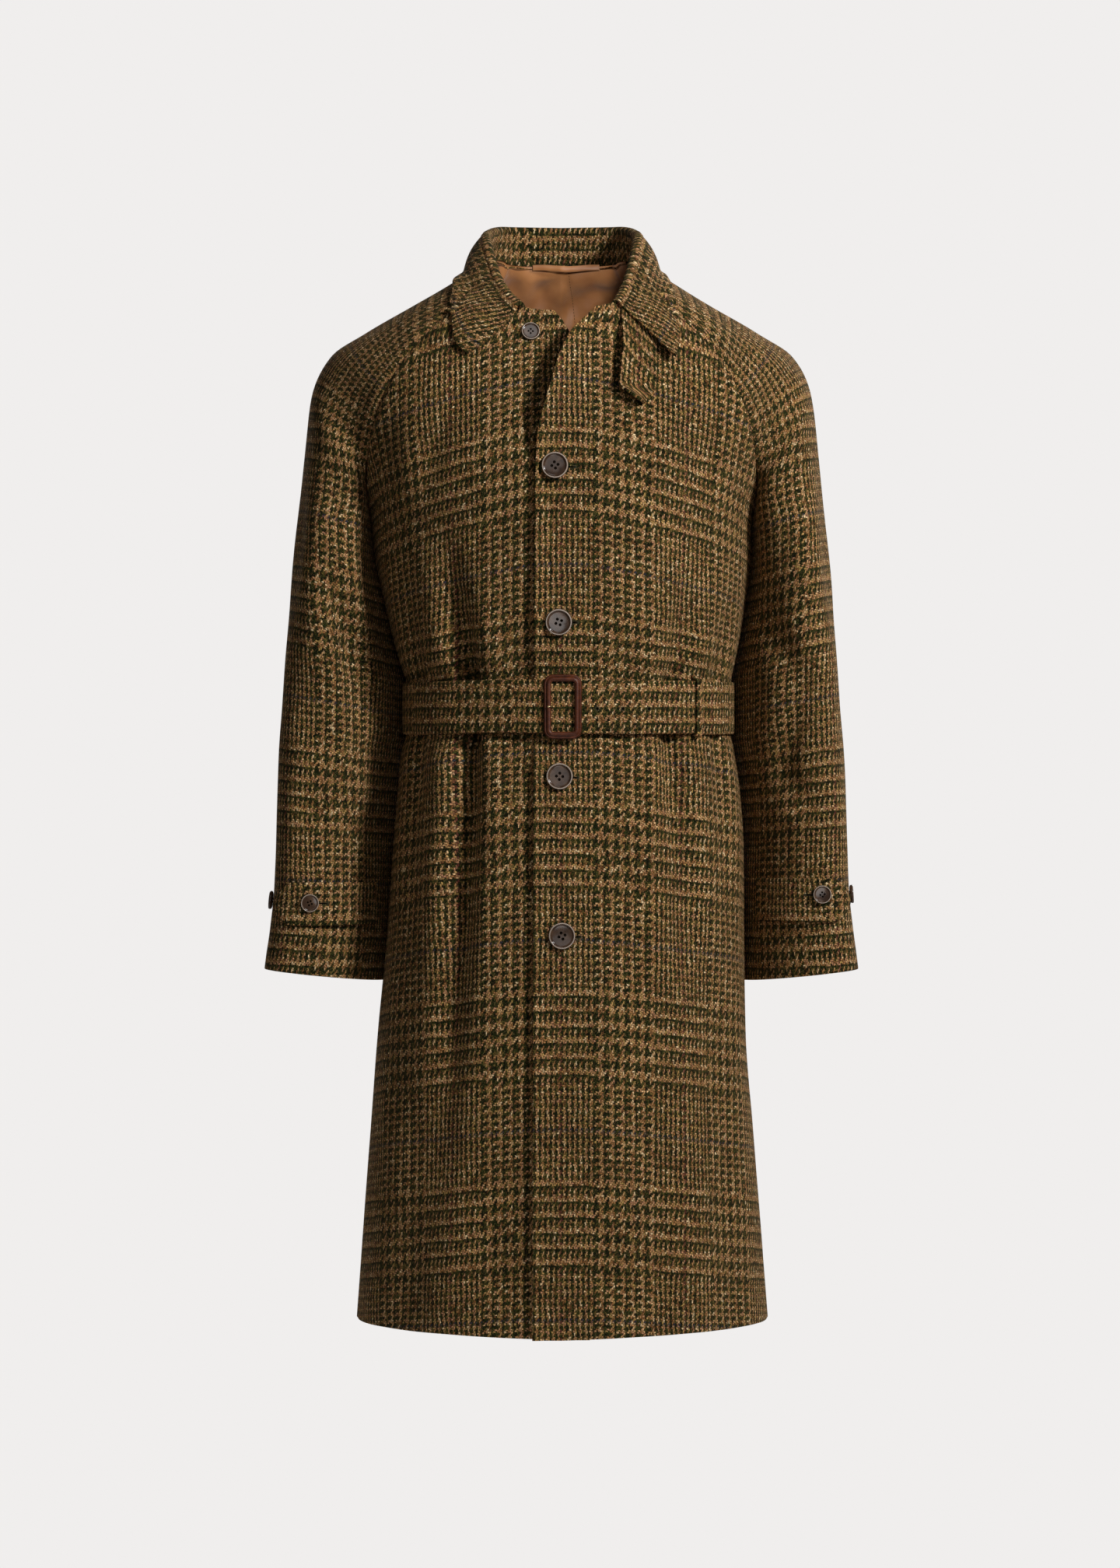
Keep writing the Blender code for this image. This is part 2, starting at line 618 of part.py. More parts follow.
def collar_section(seam, fold, edge):
    """The under side of the collar at one place: up the stand, over the fold and down the leaf."""
    out = edge - fold
    out[2] = 0.0
    out = unit(out)
    up = np.array([0.0, 0.0, 1.0])
    over = fold + out * FOLD_RADIUS
    turned = fold + out * 2 * FOLD_RADIUS
    points = [seam, (seam + fold) / 2, fold, over + up * FOLD_RADIUS, turned - up * 0.001]
    for share, crown in ((0.33, 0.004), (0.67, 0.003), (1.0, 0.0)):
        points.append(turned + (edge - turned) * share + (out + up) * crown)
    return points


collar_under = []
for side in (RIGHT, LEFT):
    line = neck_line(side)
    shares = arc_lengths(line) / arc_lengths(line)[-1]
    half = []
    for seam, share in zip(line, shares):
        fold = read_point(COLLAR[side], ("fold_x", "fold_y", "fold_z"), share) * (side, 1, 1)
        edge = read_point(COLLAR[side], ("edge_x", "edge_y", "edge_z"), share) * (side, 1, 1)
        half.append(collar_section(seam + (0, 0, 2 * REST), fold, edge))
    collar_under += half[:0:-1] if side == RIGHT else half
collar_under = np.array(collar_under)
FIRST_LEAF_POINT = 4
leaf = collar_under[:, FIRST_LEAF_POINT:]
collar_tree = surface_tree(shells + [(tab_over, tab_normals)])
raise_clear(leaf, collar_tree, REST)
collar_normals = grid_normals(collar_under, np.zeros(3))
at_leaf_edge = collar_normals[len(collar_under) // 2, -1]
collar_normals *= 1.0 if at_leaf_edge[1] > 0 else -1.0
# The lower stand is upright, so that it stays above the neck edge
collar_normals[:, :2] = unit(collar_normals[:, :2] * (1, 1, 0))
wall("collar", collar_under + collar_normals * COLLAR_WALL, collar_under, "tweed")

# The hanger loop: a strip of lining across the back of the neck, sewn down at both ends
LOOP_ENDS = (-0.0304, 0.0403)
LOOP_WIDTH = 0.0075
LOOP_TOP = 0.0560
LOOP_SAG = 0.0072
LOOP_REST = 0.0002
LOOP_WALL = 0.0012
LOOP_COLUMNS = 17
loop_outer = []
for share in np.linspace(0.0, 1.0, LOOP_COLUMNS):
    x = LOOP_ENDS[0] + (LOOP_ENDS[1] - LOOP_ENDS[0]) * share
    slack = math.sin(math.pi * share)
    inside = np.array([np.interp(x, lining_out[-1, :, 0], lining_out[-1, :, axis]) for axis in range(3)])
    stand_off = LINING_WALL + COLLAR_WALL - CLOTH + LOOP_REST + LOOP_SAG * slack
    top = np.array([x, inside[1] - stand_off, LOOP_TOP - 0.0015 * slack])
    loop_outer.append([top, top - (0.0, 0.0, LOOP_WIDTH)])
loop_outer = np.array(loop_outer)
wall("hanger_loop", loop_outer, loop_outer - (0.0, LOOP_WALL, 0.0), "lining")

# The belt: from the buckle's bar round the body, over its own start and on to the tail
BELT_START = 0.0085
BELT_TAIL = 0.1500
BELT_RISE = (-0.115, -0.004)


def belt_line():
    """Points round the waist at the belt's height, with the place along the front where that matters."""
    key = BELT_HEIGHT - UNDERARM
    halves = {(face, side): half_row(face, side, key) for face in ("front", "back") for side in (LEFT, RIGHT)}
    round_body = [
        halves["front", LEFT], halves["back", LEFT][-2::-1],
        halves["back", RIGHT][1:], halves["front", RIGHT][-2::-1], halves["front", LEFT][1:],
    ]
    line = np.concatenate(round_body)
    return line, arc_lengths(line), arc_lengths(halves["front", LEFT])[-1]


def over_lift(place):
    """How far the overlap of the fronts lifts what passes over it, at a place left of the centre front."""
    edge = read(FRONT_EDGE, "left", BELT_HEIGHT)
    step_up = ease(edge - 0.012, edge - 0.002, place)
    return OVERLAP_LIFT * step_up * (1.0 - ease(OVERLAP_FADE[0], OVERLAP_FADE[1], place))


def tail_stand_off(place):
    """The tail's stand-off from the body as it climbs on to the belt's own start."""
    climbed = ease(BELT_RISE[0], BELT_RISE[1], place)
    return BELT_REST + over_lift(place) * (1 - climbed) + climbed * (
        OVERLAP_LIFT * (1.0 - ease(OVERLAP_FADE[0], OVERLAP_FADE[1], place)) + BELT_WALL + REST)


line, lengths, quarter = belt_line()
turn_length = lengths[-1] - quarter
places = np.concatenate([
    np.linspace(BELT_START, quarter, 13), np.linspace(quarter, turn_length - 0.13, 40)[1:],
    np.linspace(turn_length - 0.13, turn_length + BELT_TAIL, 22)[1:],
])
belt_points = along(line, lengths, places)
ahead = along(line, lengths, places + 0.002) - along(line, lengths, np.maximum(places - 0.002, 0.0))
belt_normals = unit(np.stack([ahead[:, 1], -ahead[:, 0], 0 * places], axis=1))
belt_normals *= 1.0 if belt_normals[0, 1] < 0 else -1.0
on_tail = places > turn_length - 0.2
stand_off = np.where(
    on_tail,
    [tail_stand_off(place - turn_length) for place in places],
    [BELT_REST + over_lift(place) for place in places],
)
inner_line = belt_points + belt_normals * stand_off[:, None]
outer_line = inner_line + belt_normals * BELT_WALL
edges = np.array([[0, 0, -BELT_WIDTH / 2], [0, 0, 0], [0, 0, BELT_WIDTH / 2]])
belt_outer = outer_line[:, None] + edges
wall("belt", belt_outer, inner_line[:, None] + edges, "tweed")

# The keeper: a narrow loop of the cloth that holds the belt's tail
KEEPER_PLACE = 0.1430
KEEPER_WIDTH = 0.0068
KEEPER_WALL = 0.0016
stack = BELT_REST + 2 * BELT_WALL + 3 * REST
belt_edge = BELT_WIDTH / 2
Bend = namedtuple("Bend", "out height")
KEEPER_HALF = [
    Bend(0.0006, belt_edge + 0.0060),
    Bend(0.0030, belt_edge + 0.0026),
    Bend(stack * 0.7, belt_edge + 0.0012),
    Bend(stack, belt_edge + 0.0004),
    Bend(stack, belt_edge / 2),
]
KEEPER = KEEPER_HALF + [Bend(bend.out, -bend.height) for bend in reversed(KEEPER_HALF)]
keeper_middle = along(line, lengths, np.array([KEEPER_PLACE]))[0]
keeper_ends = along(line, lengths, KEEPER_PLACE + np.array([-0.002, 0.002]))
keeper_way = unit(keeper_ends[1] - keeper_ends[0])
keeper_out = np.array([keeper_way[1], -keeper_way[0], 0.0])
keeper_under = np.array([
    [keeper_middle + keeper_way * half + keeper_out * bend.out + (0, 0, bend.height)
     for half in (-KEEPER_WIDTH / 2, KEEPER_WIDTH / 2)]
    for bend in KEEPER
])
raise_clear(keeper_under, coat_tree, REST)
keeper_normals = grid_normals(keeper_under, body_middle(keeper_under))
wall("belt_keeper", keeper_under + keeper_normals * KEEPER_WALL, keeper_under, "tweed")

# The buckle: a leather-covered frame over the belt, with a bar behind the strap
BUCKLE_CENTRE = 0.0012
BUCKLE_WIDTH = 0.0386
BUCKLE_HEIGHT = 0.0655
BUCKLE_BAR = 0.0050
BUCKLE_SIDE_BAR = 0.0068
BUCKLE_DEPTH = 0.0034
BUCKLE_CORNER = 0.0065
BAR_WIDTH = 0.0060
BAR_DEPTH = 0.0020
BAR_INSET = 0.0010
BAR_ROOT = 0.0015
front_at_belt = -read(BODY, "front", BELT_HEIGHT)
strap_face = front_at_belt - tail_stand_off(0.02) - BELT_WALL
frame_back = strap_face - REST
bar_face = front_at_belt - tail_stand_off(0.02) + REST


def rounded_outline(width, height, corner, steps=4):
    """Corner points of an upright rectangle with round corners, anticlockwise."""
    points = []
    for quadrant, (sx, sz) in enumerate(((1, 1), (-1, 1), (-1, -1), (1, -1))):
        for k in range(steps + 1):
            angle = math.pi / 2 * (quadrant + k / steps)
            x = sx * (width / 2 - corner) + corner * math.cos(angle)
            z = sz * (height / 2 - corner) + corner * math.sin(angle)
            points.append((x, z))
    return points


def buckle_frame():
    window = (BUCKLE_WIDTH - 2 * BUCKLE_SIDE_BAR, BUCKLE_HEIGHT - 2 * BUCKLE_BAR)
    loops = []
    rims = ((BUCKLE_WIDTH, BUCKLE_HEIGHT, BUCKLE_CORNER), (*window, BUCKLE_CORNER / 3))
    shape = bmesh.new()
    for y in (frame_back, frame_back - BUCKLE_DEPTH):
        for width, height, corner in rims:
            outline = rounded_outline(width, height, corner)
            loops.append([shape.verts.new((BUCKLE_CENTRE + x, y, BELT_HEIGHT + z)) for x, z in outline])
    count = len(loops[0])
    for a, b in ((0, 1), (1, 3), (3, 2), (2, 0)):
        for k in range(count):
            n = (k + 1) % count
            shape.faces.new((loops[a][k], loops[a][n], loops[b][n], loops[b][k]))
    bmesh.ops.recalc_face_normals(shape, faces=shape.faces)
    mesh = bpy.data.meshes.new("buckle")
    shape.to_mesh(mesh)
    shape.free()
    return place_mesh("buckle", mesh, "leather")


def buckle_bar():
    """The bar behind the strap, with a post at each end that reaches forward into the frame."""
    shape = bmesh.new()
    reach = BUCKLE_HEIGHT / 2 - BAR_INSET
    clear = BELT_WIDTH / 2 + REST
    bar_back = bar_face + BAR_DEPTH
    into_frame = frame_back - BAR_ROOT
    profile = [
        (into_frame, reach), (bar_back, reach), (bar_back, -reach), (into_frame, -reach),
        (into_frame, -clear), (bar_face, -clear), (bar_face, clear), (into_frame, clear),
    ]
    ends = []
    for x in (BUCKLE_CENTRE - BAR_WIDTH / 2, BUCKLE_CENTRE + BAR_WIDTH / 2):
        ends.append([shape.verts.new((x, y, BELT_HEIGHT + z)) for y, z in profile])
    for k in range(len(profile)):
        n = (k + 1) % len(profile)
        shape.faces.new((ends[0][k], ends[0][n], ends[1][n], ends[1][k]))
    shape.faces.new(ends[0])
    shape.faces.new(ends[1])
    bmesh.ops.recalc_face_normals(shape, faces=shape.faces)
    mesh = bpy.data.meshes.new("buckle_bar")
    shape.to_mesh(mesh)
    shape.free()
    bar = bpy.data.objects.new("buckle_bar", mesh)
    bar.hide_render = True
    bar.display_type = "WIRE"
    bpy.context.scene.collection.objects.link(bar)
    return bar


join = buckle_frame().modifiers.new("bar", "BOOLEAN")
join.operation = "UNION"
join.object = buckle_bar()

# The tongue of the buckle: its tip lies on the left bar and its root goes into the strap
TONGUE_RADIUS = 0.0008
frame_left = BUCKLE_CENTRE - BUCKLE_WIDTH / 2
tongue_top = frame_back - BUCKLE_DEPTH - TONGUE_RADIUS - REST
tongue_root = strap_face - TONGUE_RADIUS - REST
tongue = bpy.data.curves.new("buckle_tongue", "CURVE")
tongue.dimensions = "3D"
tongue.bevel_depth = TONGUE_RADIUS
tongue.bevel_resolution = 2
tongue.use_fill_caps = True
route = [
    (frame_left + 0.0030, tongue_top), (frame_left + BUCKLE_SIDE_BAR, tongue_top),
    (frame_left + BUCKLE_SIDE_BAR + 0.0022, (tongue_top + tongue_root) / 2 - 0.0006),
    (frame_left + BUCKLE_SIDE_BAR + 0.0046, tongue_root),
]
spline = tongue.splines.new("POLY")
spline.points.add(len(route) - 1)
for point, (x, y) in zip(spline.points, route):
    point.co = (x, y, BELT_HEIGHT, 1.0)
made = bpy.data.objects.new("buckle_tongue", tongue)
made.data.materials.append(material("buckle_tongue", "brass"))
bpy.context.scene.collection.objects.link(made)

# Cuff straps: each lies round the front of a sleeve and ends in a point on the outside
Strap = namedtuple("Strap", "around half_height")
CUFF_STRAP = [
    Strap(0.1250, 0.0216), Strap(0.1875, 0.0218), Strap(0.2500, 0.0220), Strap(0.3125, 0.0222),
    Strap(0.3750, 0.0222), Strap(0.4100, 0.0140), Strap(0.4375, 0.0035),
]
STRAP_HEIGHT = {LEFT: -0.6120, RIGHT: -0.6160}
STRAP_COLUMNS = np.linspace(-1.0, 1.0, 5)


def on_sleeve(side, around, height):
    """A point of a sleeve's outer wall: around is 0 at the underarm line, 0.25 in front and 0.5 outside."""
    grid = sleeves[side][JOINED_ROW:]
    place = around * (grid.shape[1] - 1)
    c = min(int(place), grid.shape[1] - 2)
    edge = grid[:, c] + (grid[:, c + 1] - grid[:, c]) * (place - c)
    order = np.argsort(edge[:, 2])
    return np.array([np.interp(height, edge[order, 2], edge[order, axis]) for axis in range(3)])


def sleeve_out(side, around, height):
    """The outward direction of a sleeve's wall, from its neighbours round the sleeve and along it."""
    step = 0.03
    across = on_sleeve(side, around + step, height) - on_sleeve(side, max(around - step, 0.0), height)
    upward = on_sleeve(side, around, height + 0.02) - on_sleeve(side, around, height - 0.02)
    out = unit(np.cross(across, upward))
    middle = (on_sleeve(side, 0.0, height) + on_sleeve(side, 0.5, height)) / 2
    return out if out @ (on_sleeve(side, around, height) - middle) > 0 else -out


strap_trees = {}
for side in (LEFT, RIGHT):
    under = []
    for row in CUFF_STRAP:
        heights = STRAP_HEIGHT[side] + row.half_height * STRAP_COLUMNS
        under.append([on_sleeve(side, row.around, height) for height in heights])
    under = np.array(under)
    out = [[sleeve_out(side, row.around, STRAP_HEIGHT[side])] * len(STRAP_COLUMNS) for row in CUFF_STRAP]
    out = np.array(out)
    under += out * STRAP_REST
    raise_clear(under, coat_tree, STRAP_REST)
    over = under + out * STRAP_WALL
    wall("cuff_strap_" + NAMES[side], over, under, "tweed")
    strap_trees[side] = surface_tree([(sleeves[side], sleeve_normals[side]), (over, out)])

# Buttons: four-hole horn buttons with a raised rim
Button = namedtuple("Button", "name across thick")
LARGE = Button("large", 0.0272, 0.0042)
SMALL = Button("small", 0.0190, 0.0036)
BUTTON_SIDES = 16
HOLE_SIDES = 6
HOLE_RADIUS = 0.10
HOLE_RING = 0.28
# The turned profile, from the middle of the back to the middle of the face, in shares of the
# button's radius and thickness
BUTTON_PROFILE = [
    (0.00, 0.00), (0.80, 0.00), (1.00, 0.45), (0.97, 0.88),
    (0.86, 1.00), (0.72, 0.86), (0.62, 0.62), (0.00, 0.58),
]


def button_mesh(kind):
    """A turned disc with a dished face, pierced by four thread holes."""
    radius = kind.across / 2
    profile = [(out * radius, up * kind.thick) for out, up in BUTTON_PROFILE]
    shape = bmesh.new()
    verts = [shape.verts.new((x, 0.0, z)) for x, z in profile]
    edges = [shape.edges.new(pair) for pair in zip(verts, verts[1:])]
    bmesh.ops.spin(
        shape, geom=verts + edges, cent=(0, 0, 0), axis=(0, 0, 1), angle=2 * math.pi,
        steps=BUTTON_SIDES, use_merge=True)
    bmesh.ops.remove_doubles(shape, verts=shape.verts, dist=1e-6)
    bmesh.ops.recalc_face_normals(shape, faces=shape.faces)
    mesh = bpy.data.meshes.new("button_blank_" + kind.name)
    shape.to_mesh(mesh)
    shape.free()
    blank = bpy.data.objects.new("button_blank_" + kind.name, mesh)
    drill_shape = bmesh.new()
    for quarter_turn in range(4):
        angle = math.pi / 2 * (quarter_turn + 0.5)
        away = HOLE_RING * radius
        hole = Matrix.Translation((away * math.cos(angle), away * math.sin(angle), kind.thick / 2))
        bmesh.ops.create_cone(
            drill_shape, cap_ends=True, segments=HOLE_SIDES, radius1=HOLE_RADIUS * radius,
            radius2=HOLE_RADIUS * radius, depth=kind.thick * 3, matrix=hole)
    drill_mesh = bpy.data.meshes.new("button_drill_" + kind.name)
    drill_shape.to_mesh(drill_mesh)
    drill_shape.free()
    drill = bpy.data.objects.new("button_drill_" + kind.name, drill_mesh)
    for helper in (blank, drill):
        bpy.context.scene.collection.objects.link(helper)
    cut = blank.modifiers.new("holes", "BOOLEAN")
    cut.operation = "DIFFERENCE"
    cut.object = drill
    graph = bpy.context.evaluated_depsgraph_get()
    pierced = bpy.data.meshes.new_from_object(blank.evaluated_get(graph))
    for helper in (blank, drill):
        bpy.data.objects.remove(helper)
    return pierced


BUTTON_MESHES = {kind.name: button_mesh(kind) for kind in (LARGE, SMALL)}


def sew_button(name, kind, tree, spot, aim):
    """Sets a button where a ray from spot along aim meets the coat, just clear of all that lies under it."""
    aim = Vector(aim).normalized()
    found, normal, _, _ = tree.ray_cast(Vector(spot) - aim, aim)
    turn = Vector((0, 0, 1)).rotation_difference(normal)
    high = 0.0
    for k in range(12):
        angle = k * math.pi / 6
        rim = turn @ Vector((math.cos(angle), math.sin(angle), 0)) * kind.across / 2
        for share in (0.5, 1.0):
            under, _, _, _ = tree.ray_cast(found + rim * share + normal * 0.03, -normal)
            if under is not None:
                high = max(high, (under - found).dot(normal))
    made = place_mesh(name, BUTTON_MESHES[kind.name].copy(), "horn", 30)
    made.location = found + normal * (high + REST)
    made.rotation_mode = "QUATERNION"
    made.rotation_quaternion = turn


Sewn = namedtuple("Sewn", "name x z")
FRONT_BUTTONS = [
    Sewn("button_front_1", -0.0067, -0.1712), Sewn("button_front_2", -0.0028, -0.3282),
    Sewn("button_front_3", -0.0020, -0.4851), Sewn("button_front_4", 0.0004, -0.6462),
]
for sewn in FRONT_BUTTONS:
    sew_button(sewn.name, LARGE, coat_tree, (sewn.x, -0.3, sewn.z), FORWARD)
sew_button("button_neck", SMALL, coat_tree, (-0.0317, -0.3, -0.0324), FORWARD)
CuffButton = namedtuple("CuffButton", "side name around height")
CUFF_BUTTONS = [
    CuffButton(RIGHT, "button_cuff_right_1", 0.335, -0.6149),
    CuffButton(RIGHT, "button_cuff_right_2", 0.500, -0.6130),
    CuffButton(LEFT, "button_cuff_left_1", 0.350, -0.6060),
    CuffButton(LEFT, "button_cuff_left_2", 0.500, -0.6067),
]
for sewn in CUFF_BUTTONS:
    out = sleeve_out(sewn.side, sewn.around, sewn.height)
    spot = on_sleeve(sewn.side, sewn.around, sewn.height) + out * 0.02
    sew_button(sewn.name, SMALL, strap_trees[sewn.side], spot, -out)
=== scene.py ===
"""A belted balmacaan coat in checked tweed, worn and filled out, dressed over its solids."""

import json
import math
from collections import namedtuple

import bmesh
import bpy
import numpy as np
from mathutils import Matrix, Vector
from mathutils.bvhtree import BVHTree

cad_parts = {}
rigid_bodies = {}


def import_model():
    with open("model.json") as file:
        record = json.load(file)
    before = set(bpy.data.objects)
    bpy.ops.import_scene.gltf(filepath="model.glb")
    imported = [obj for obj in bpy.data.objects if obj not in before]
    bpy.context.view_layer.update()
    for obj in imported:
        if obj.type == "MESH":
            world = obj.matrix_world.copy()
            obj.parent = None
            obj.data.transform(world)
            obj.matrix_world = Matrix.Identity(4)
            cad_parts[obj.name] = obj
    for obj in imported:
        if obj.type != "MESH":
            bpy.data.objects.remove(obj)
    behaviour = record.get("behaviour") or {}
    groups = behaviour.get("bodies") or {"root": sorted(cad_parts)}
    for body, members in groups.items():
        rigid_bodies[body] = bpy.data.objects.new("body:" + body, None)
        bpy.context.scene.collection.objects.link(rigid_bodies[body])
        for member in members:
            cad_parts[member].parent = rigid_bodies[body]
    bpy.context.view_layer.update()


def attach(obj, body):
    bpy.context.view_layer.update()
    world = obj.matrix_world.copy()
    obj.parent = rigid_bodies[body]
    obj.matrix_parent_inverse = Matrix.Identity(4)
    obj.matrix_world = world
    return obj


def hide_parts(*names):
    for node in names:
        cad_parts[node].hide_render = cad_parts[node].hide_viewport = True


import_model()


# The right front: heavy woollen tweed with a copper lining behind it, cut to flare towards the hem.
# It lies under the left front and is sewn to the back at the side and to the sleeve in a slanting
# raglan seam. The belt draws it into one deep fold.
LEFT, RIGHT = 1, -1
NAMES = {LEFT: "left", RIGHT: "right"}
CLOTH = 0.0025
SEWN_IN, SEAM_HOLD = 0.0002, 0.045
SEAM_SINK, SINK_REACH = 0.0013, 0.0035
SEAM_RIDGE, RIDGE_AWAY, RIDGE_REACH = 0.0007, 0.009, 0.005
FOLD_ROUNDS, GIVE = 3, 0.0012
HEM, UNDERARM = -1.052, -0.222
HEM_RISE, HEM_REACH = 0.0055, 0.067
BELT_HEIGHT, BELT_WIDTH = -0.4142, 0.054
UNDER_BELT = (0.024, 0.060)
DROOP, DROOP_FROM, DROOP_BEND = 0.13, 0.045, 0.035
EDGE_ANGLE, EDGE_SHARE = 62, 0.36
# Height, half widths on the left and right, depths of front and back
BODY = np.array([
    (-1.052, 0.2140, 0.2125, 0.1740, 0.174), (-0.950, 0.2065, 0.2055, 0.1680, 0.168),
    (-0.850, 0.1985, 0.1980, 0.1610, 0.162), (-0.750, 0.1910, 0.1905, 0.1540, 0.155),
    (-0.650, 0.1895, 0.1810, 0.1470, 0.149), (-0.560, 0.1890, 0.1750, 0.1410, 0.143),
    (-0.500, 0.1850, 0.1700, 0.1360, 0.138), (-0.456, 0.1785, 0.1655, 0.1310, 0.134),
    (-0.443, 0.1760, 0.1615, 0.1290, 0.132), (-0.385, 0.1760, 0.1615, 0.1290, 0.132),
    (-0.372, 0.1785, 0.1660, 0.1315, 0.134), (-0.340, 0.1850, 0.1750, 0.1380, 0.138),
    (-0.290, 0.1930, 0.1870, 0.1450, 0.143), (-0.250, 0.1970, 0.1950, 0.1490, 0.146),
    (-0.222, 0.1980, 0.1980, 0.1500, 0.147),
])
# The raglan seams from the underarm (step 0) to the neck (step 1): x, y, z and the panel's turn there
FRONT_SEAM = np.array([
    (0.00, 0.1980, 0.000, -0.222, 90), (0.15, 0.2015, -0.045, -0.186, 66),
    (0.30, 0.1990, -0.076, -0.152, 50), (0.45, 0.1910, -0.097, -0.117, 38),
    (0.60, 0.1760, -0.106, -0.081, 30), (0.75, 0.1520, -0.103, -0.046, 27),
    (0.90, 0.1120, -0.086, -0.005, 35), (1.00, 0.0850, -0.066, 0.018, 50),
])
BACK_SEAM = np.array([
    (0.00, 0.1980, 0.000, -0.222, 90), (0.15, 0.2005, 0.050, -0.184, 66), (0.30, 0.1960, 0.084, -0.146, 50),
    (0.45, 0.1840, 0.106, -0.104, 38), (0.60, 0.1600, 0.116, -0.058, 30), (0.75, 0.1280, 0.112, -0.010, 26),
    (0.90, 0.0880, 0.090, 0.032, 32), (1.00, 0.0580, 0.066, 0.0545, 45),
])
# The centre line over the same steps: y and z of the front, y and z of the back
CENTRE = np.array([
    (0.00, -0.150, -0.222, 0.147, -0.222), (0.15, -0.149, -0.184, 0.150, -0.177),
    (0.30, -0.145, -0.148, 0.152, -0.133), (0.45, -0.137, -0.112, 0.149, -0.089),
    (0.60, -0.127, -0.078, 0.142, -0.047), (0.75, -0.117, -0.048, 0.128, -0.006),
    (0.90, -0.109, -0.022, 0.103, 0.033), (1.00, -0.106, -0.009, 0.080, 0.0535),
])
# Height, then how far the left and the right front edge lie from the centre line
FRONT_EDGE = np.array([
    (-1.052, -0.0290, -0.0290), (-0.200, -0.0268, -0.0280), (-0.144, -0.0252, -0.0270),
    (-0.102, -0.0158, -0.0240), (-0.080, -0.0095, -0.0200), (-0.057, -0.0024, -0.0150),
    (-0.037, 0.0070, -0.0100), (-0.019, 0.0230, -0.0010), (-0.009, 0.0317, 0.0080),
])
EDGE_OF = {LEFT: 0, RIGHT: 1}
SQUARE, CENTRE_HANDLE, SEAM_HANDLE, SEAM_RISE = 0.61, 0.5, 0.385, 0.55
UNDERARM_ROW, RAGLAN_ROWS = 140, 46
ROWS = np.concatenate([np.linspace(HEM - UNDERARM, 0.0, UNDERARM_ROW + 1),
                       np.linspace(0.0, 1.0, RAGLAN_ROWS + 1)[1:]])
FRONT_COLUMNS, BOW_POINTS = 76, 97
NEARBY = 0.002


def read(table, where):
    """The columns of a table at one place along its first one, on smooth curves that never overshoot."""
    keys, values = table[:, 0], table[:, 1:]
    step = np.diff(keys)[:, None]
    rise = np.diff(values, axis=0) / step
    slope = np.vstack([rise[:1], np.zeros_like(rise[1:]), rise[-1:]])
    before, after = rise[:-1], rise[1:]
    same_way = before * after > 0
    slope[1:-1][same_way] = (2 * before * after / np.where(same_way, before + after, 1.0))[same_way]
    where = min(max(where, keys[0]), keys[-1])
    k = min(int(np.searchsorted(keys, where, side="right")) - 1, len(step) - 1)
    t = (where - keys[k]) / step[k]
    start = values[k] * (1 + 2 * t) * (1 - t) ** 2 + slope[k] * step[k] * t * (1 - t) ** 2
    return start + values[k + 1] * t * t * (3 - 2 * t) + slope[k + 1] * step[k] * t * t * (t - 1)


def ease(low, high, value):
    t = np.clip((value - low) / (high - low), 0.0, 1.0)
    return t * t * (3 - 2 * t)


def unit(vectors):
    return vectors / np.linalg.norm(vectors, axis=-1, keepdims=True)


def bow(start, leave, arrive, end):
    """A curve between two points that leaves and arrives along its handles."""
    t = np.linspace(0.0, 1.0, BOW_POINTS)[:, None]
    return (1 - t) ** 3 * start + 3 * (1 - t) ** 2 * t * leave + 3 * (1 - t) * t * t * arrive + t ** 3 * end


def lengths_of(line):
    return np.concatenate([[0.0], np.cumsum(np.linalg.norm(np.diff(line, axis=0), axis=1))])


def along(line, lengths, at):
    return np.stack([np.interp(at, lengths, line[:, axis]) for axis in range(3)], axis=1)


def half_row(face, side, key):
    """Half a row of the body. A key up to 0 is a height under the underarm, above 0 it is a raglan step."""
    sign = -1.0 if face == "front" else 1.0
    if key <= 0:
        height = UNDERARM + key
        left, right, front, back = read(BODY, height)
        half = left if side == LEFT else right
        depth = sign * (front if face == "front" else back)
        centre = np.array([0.0, depth, height])
        leave = np.array([SQUARE * half, depth, height])
        arrive = np.array([half, SQUARE * depth, height])
        end = np.array([half, 0.0, height])
    else:
        front_y, front_z, back_y, back_z = read(CENTRE, key)
        centre = np.array([0.0, front_y, front_z] if face == "front" else [0.0, back_y, back_z])
        x, y, z, turn = read(FRONT_SEAM if face == "front" else BACK_SEAM, key)
        end = np.array([x, y, z])
        turn = math.radians(turn)
        span = np.linalg.norm(end - centre)
        leave = centre + np.array([CENTRE_HANDLE * span, 0.0, 0.0])
        arrive = end - SEAM_HANDLE * span * np.array([math.cos(turn), -sign * math.sin(turn), 0.0])
        arrive[2] = centre[2] + SEAM_RISE * (end[2] - centre[2])
    return bow(centre, leave, arrive, end) * (side, 1, 1)


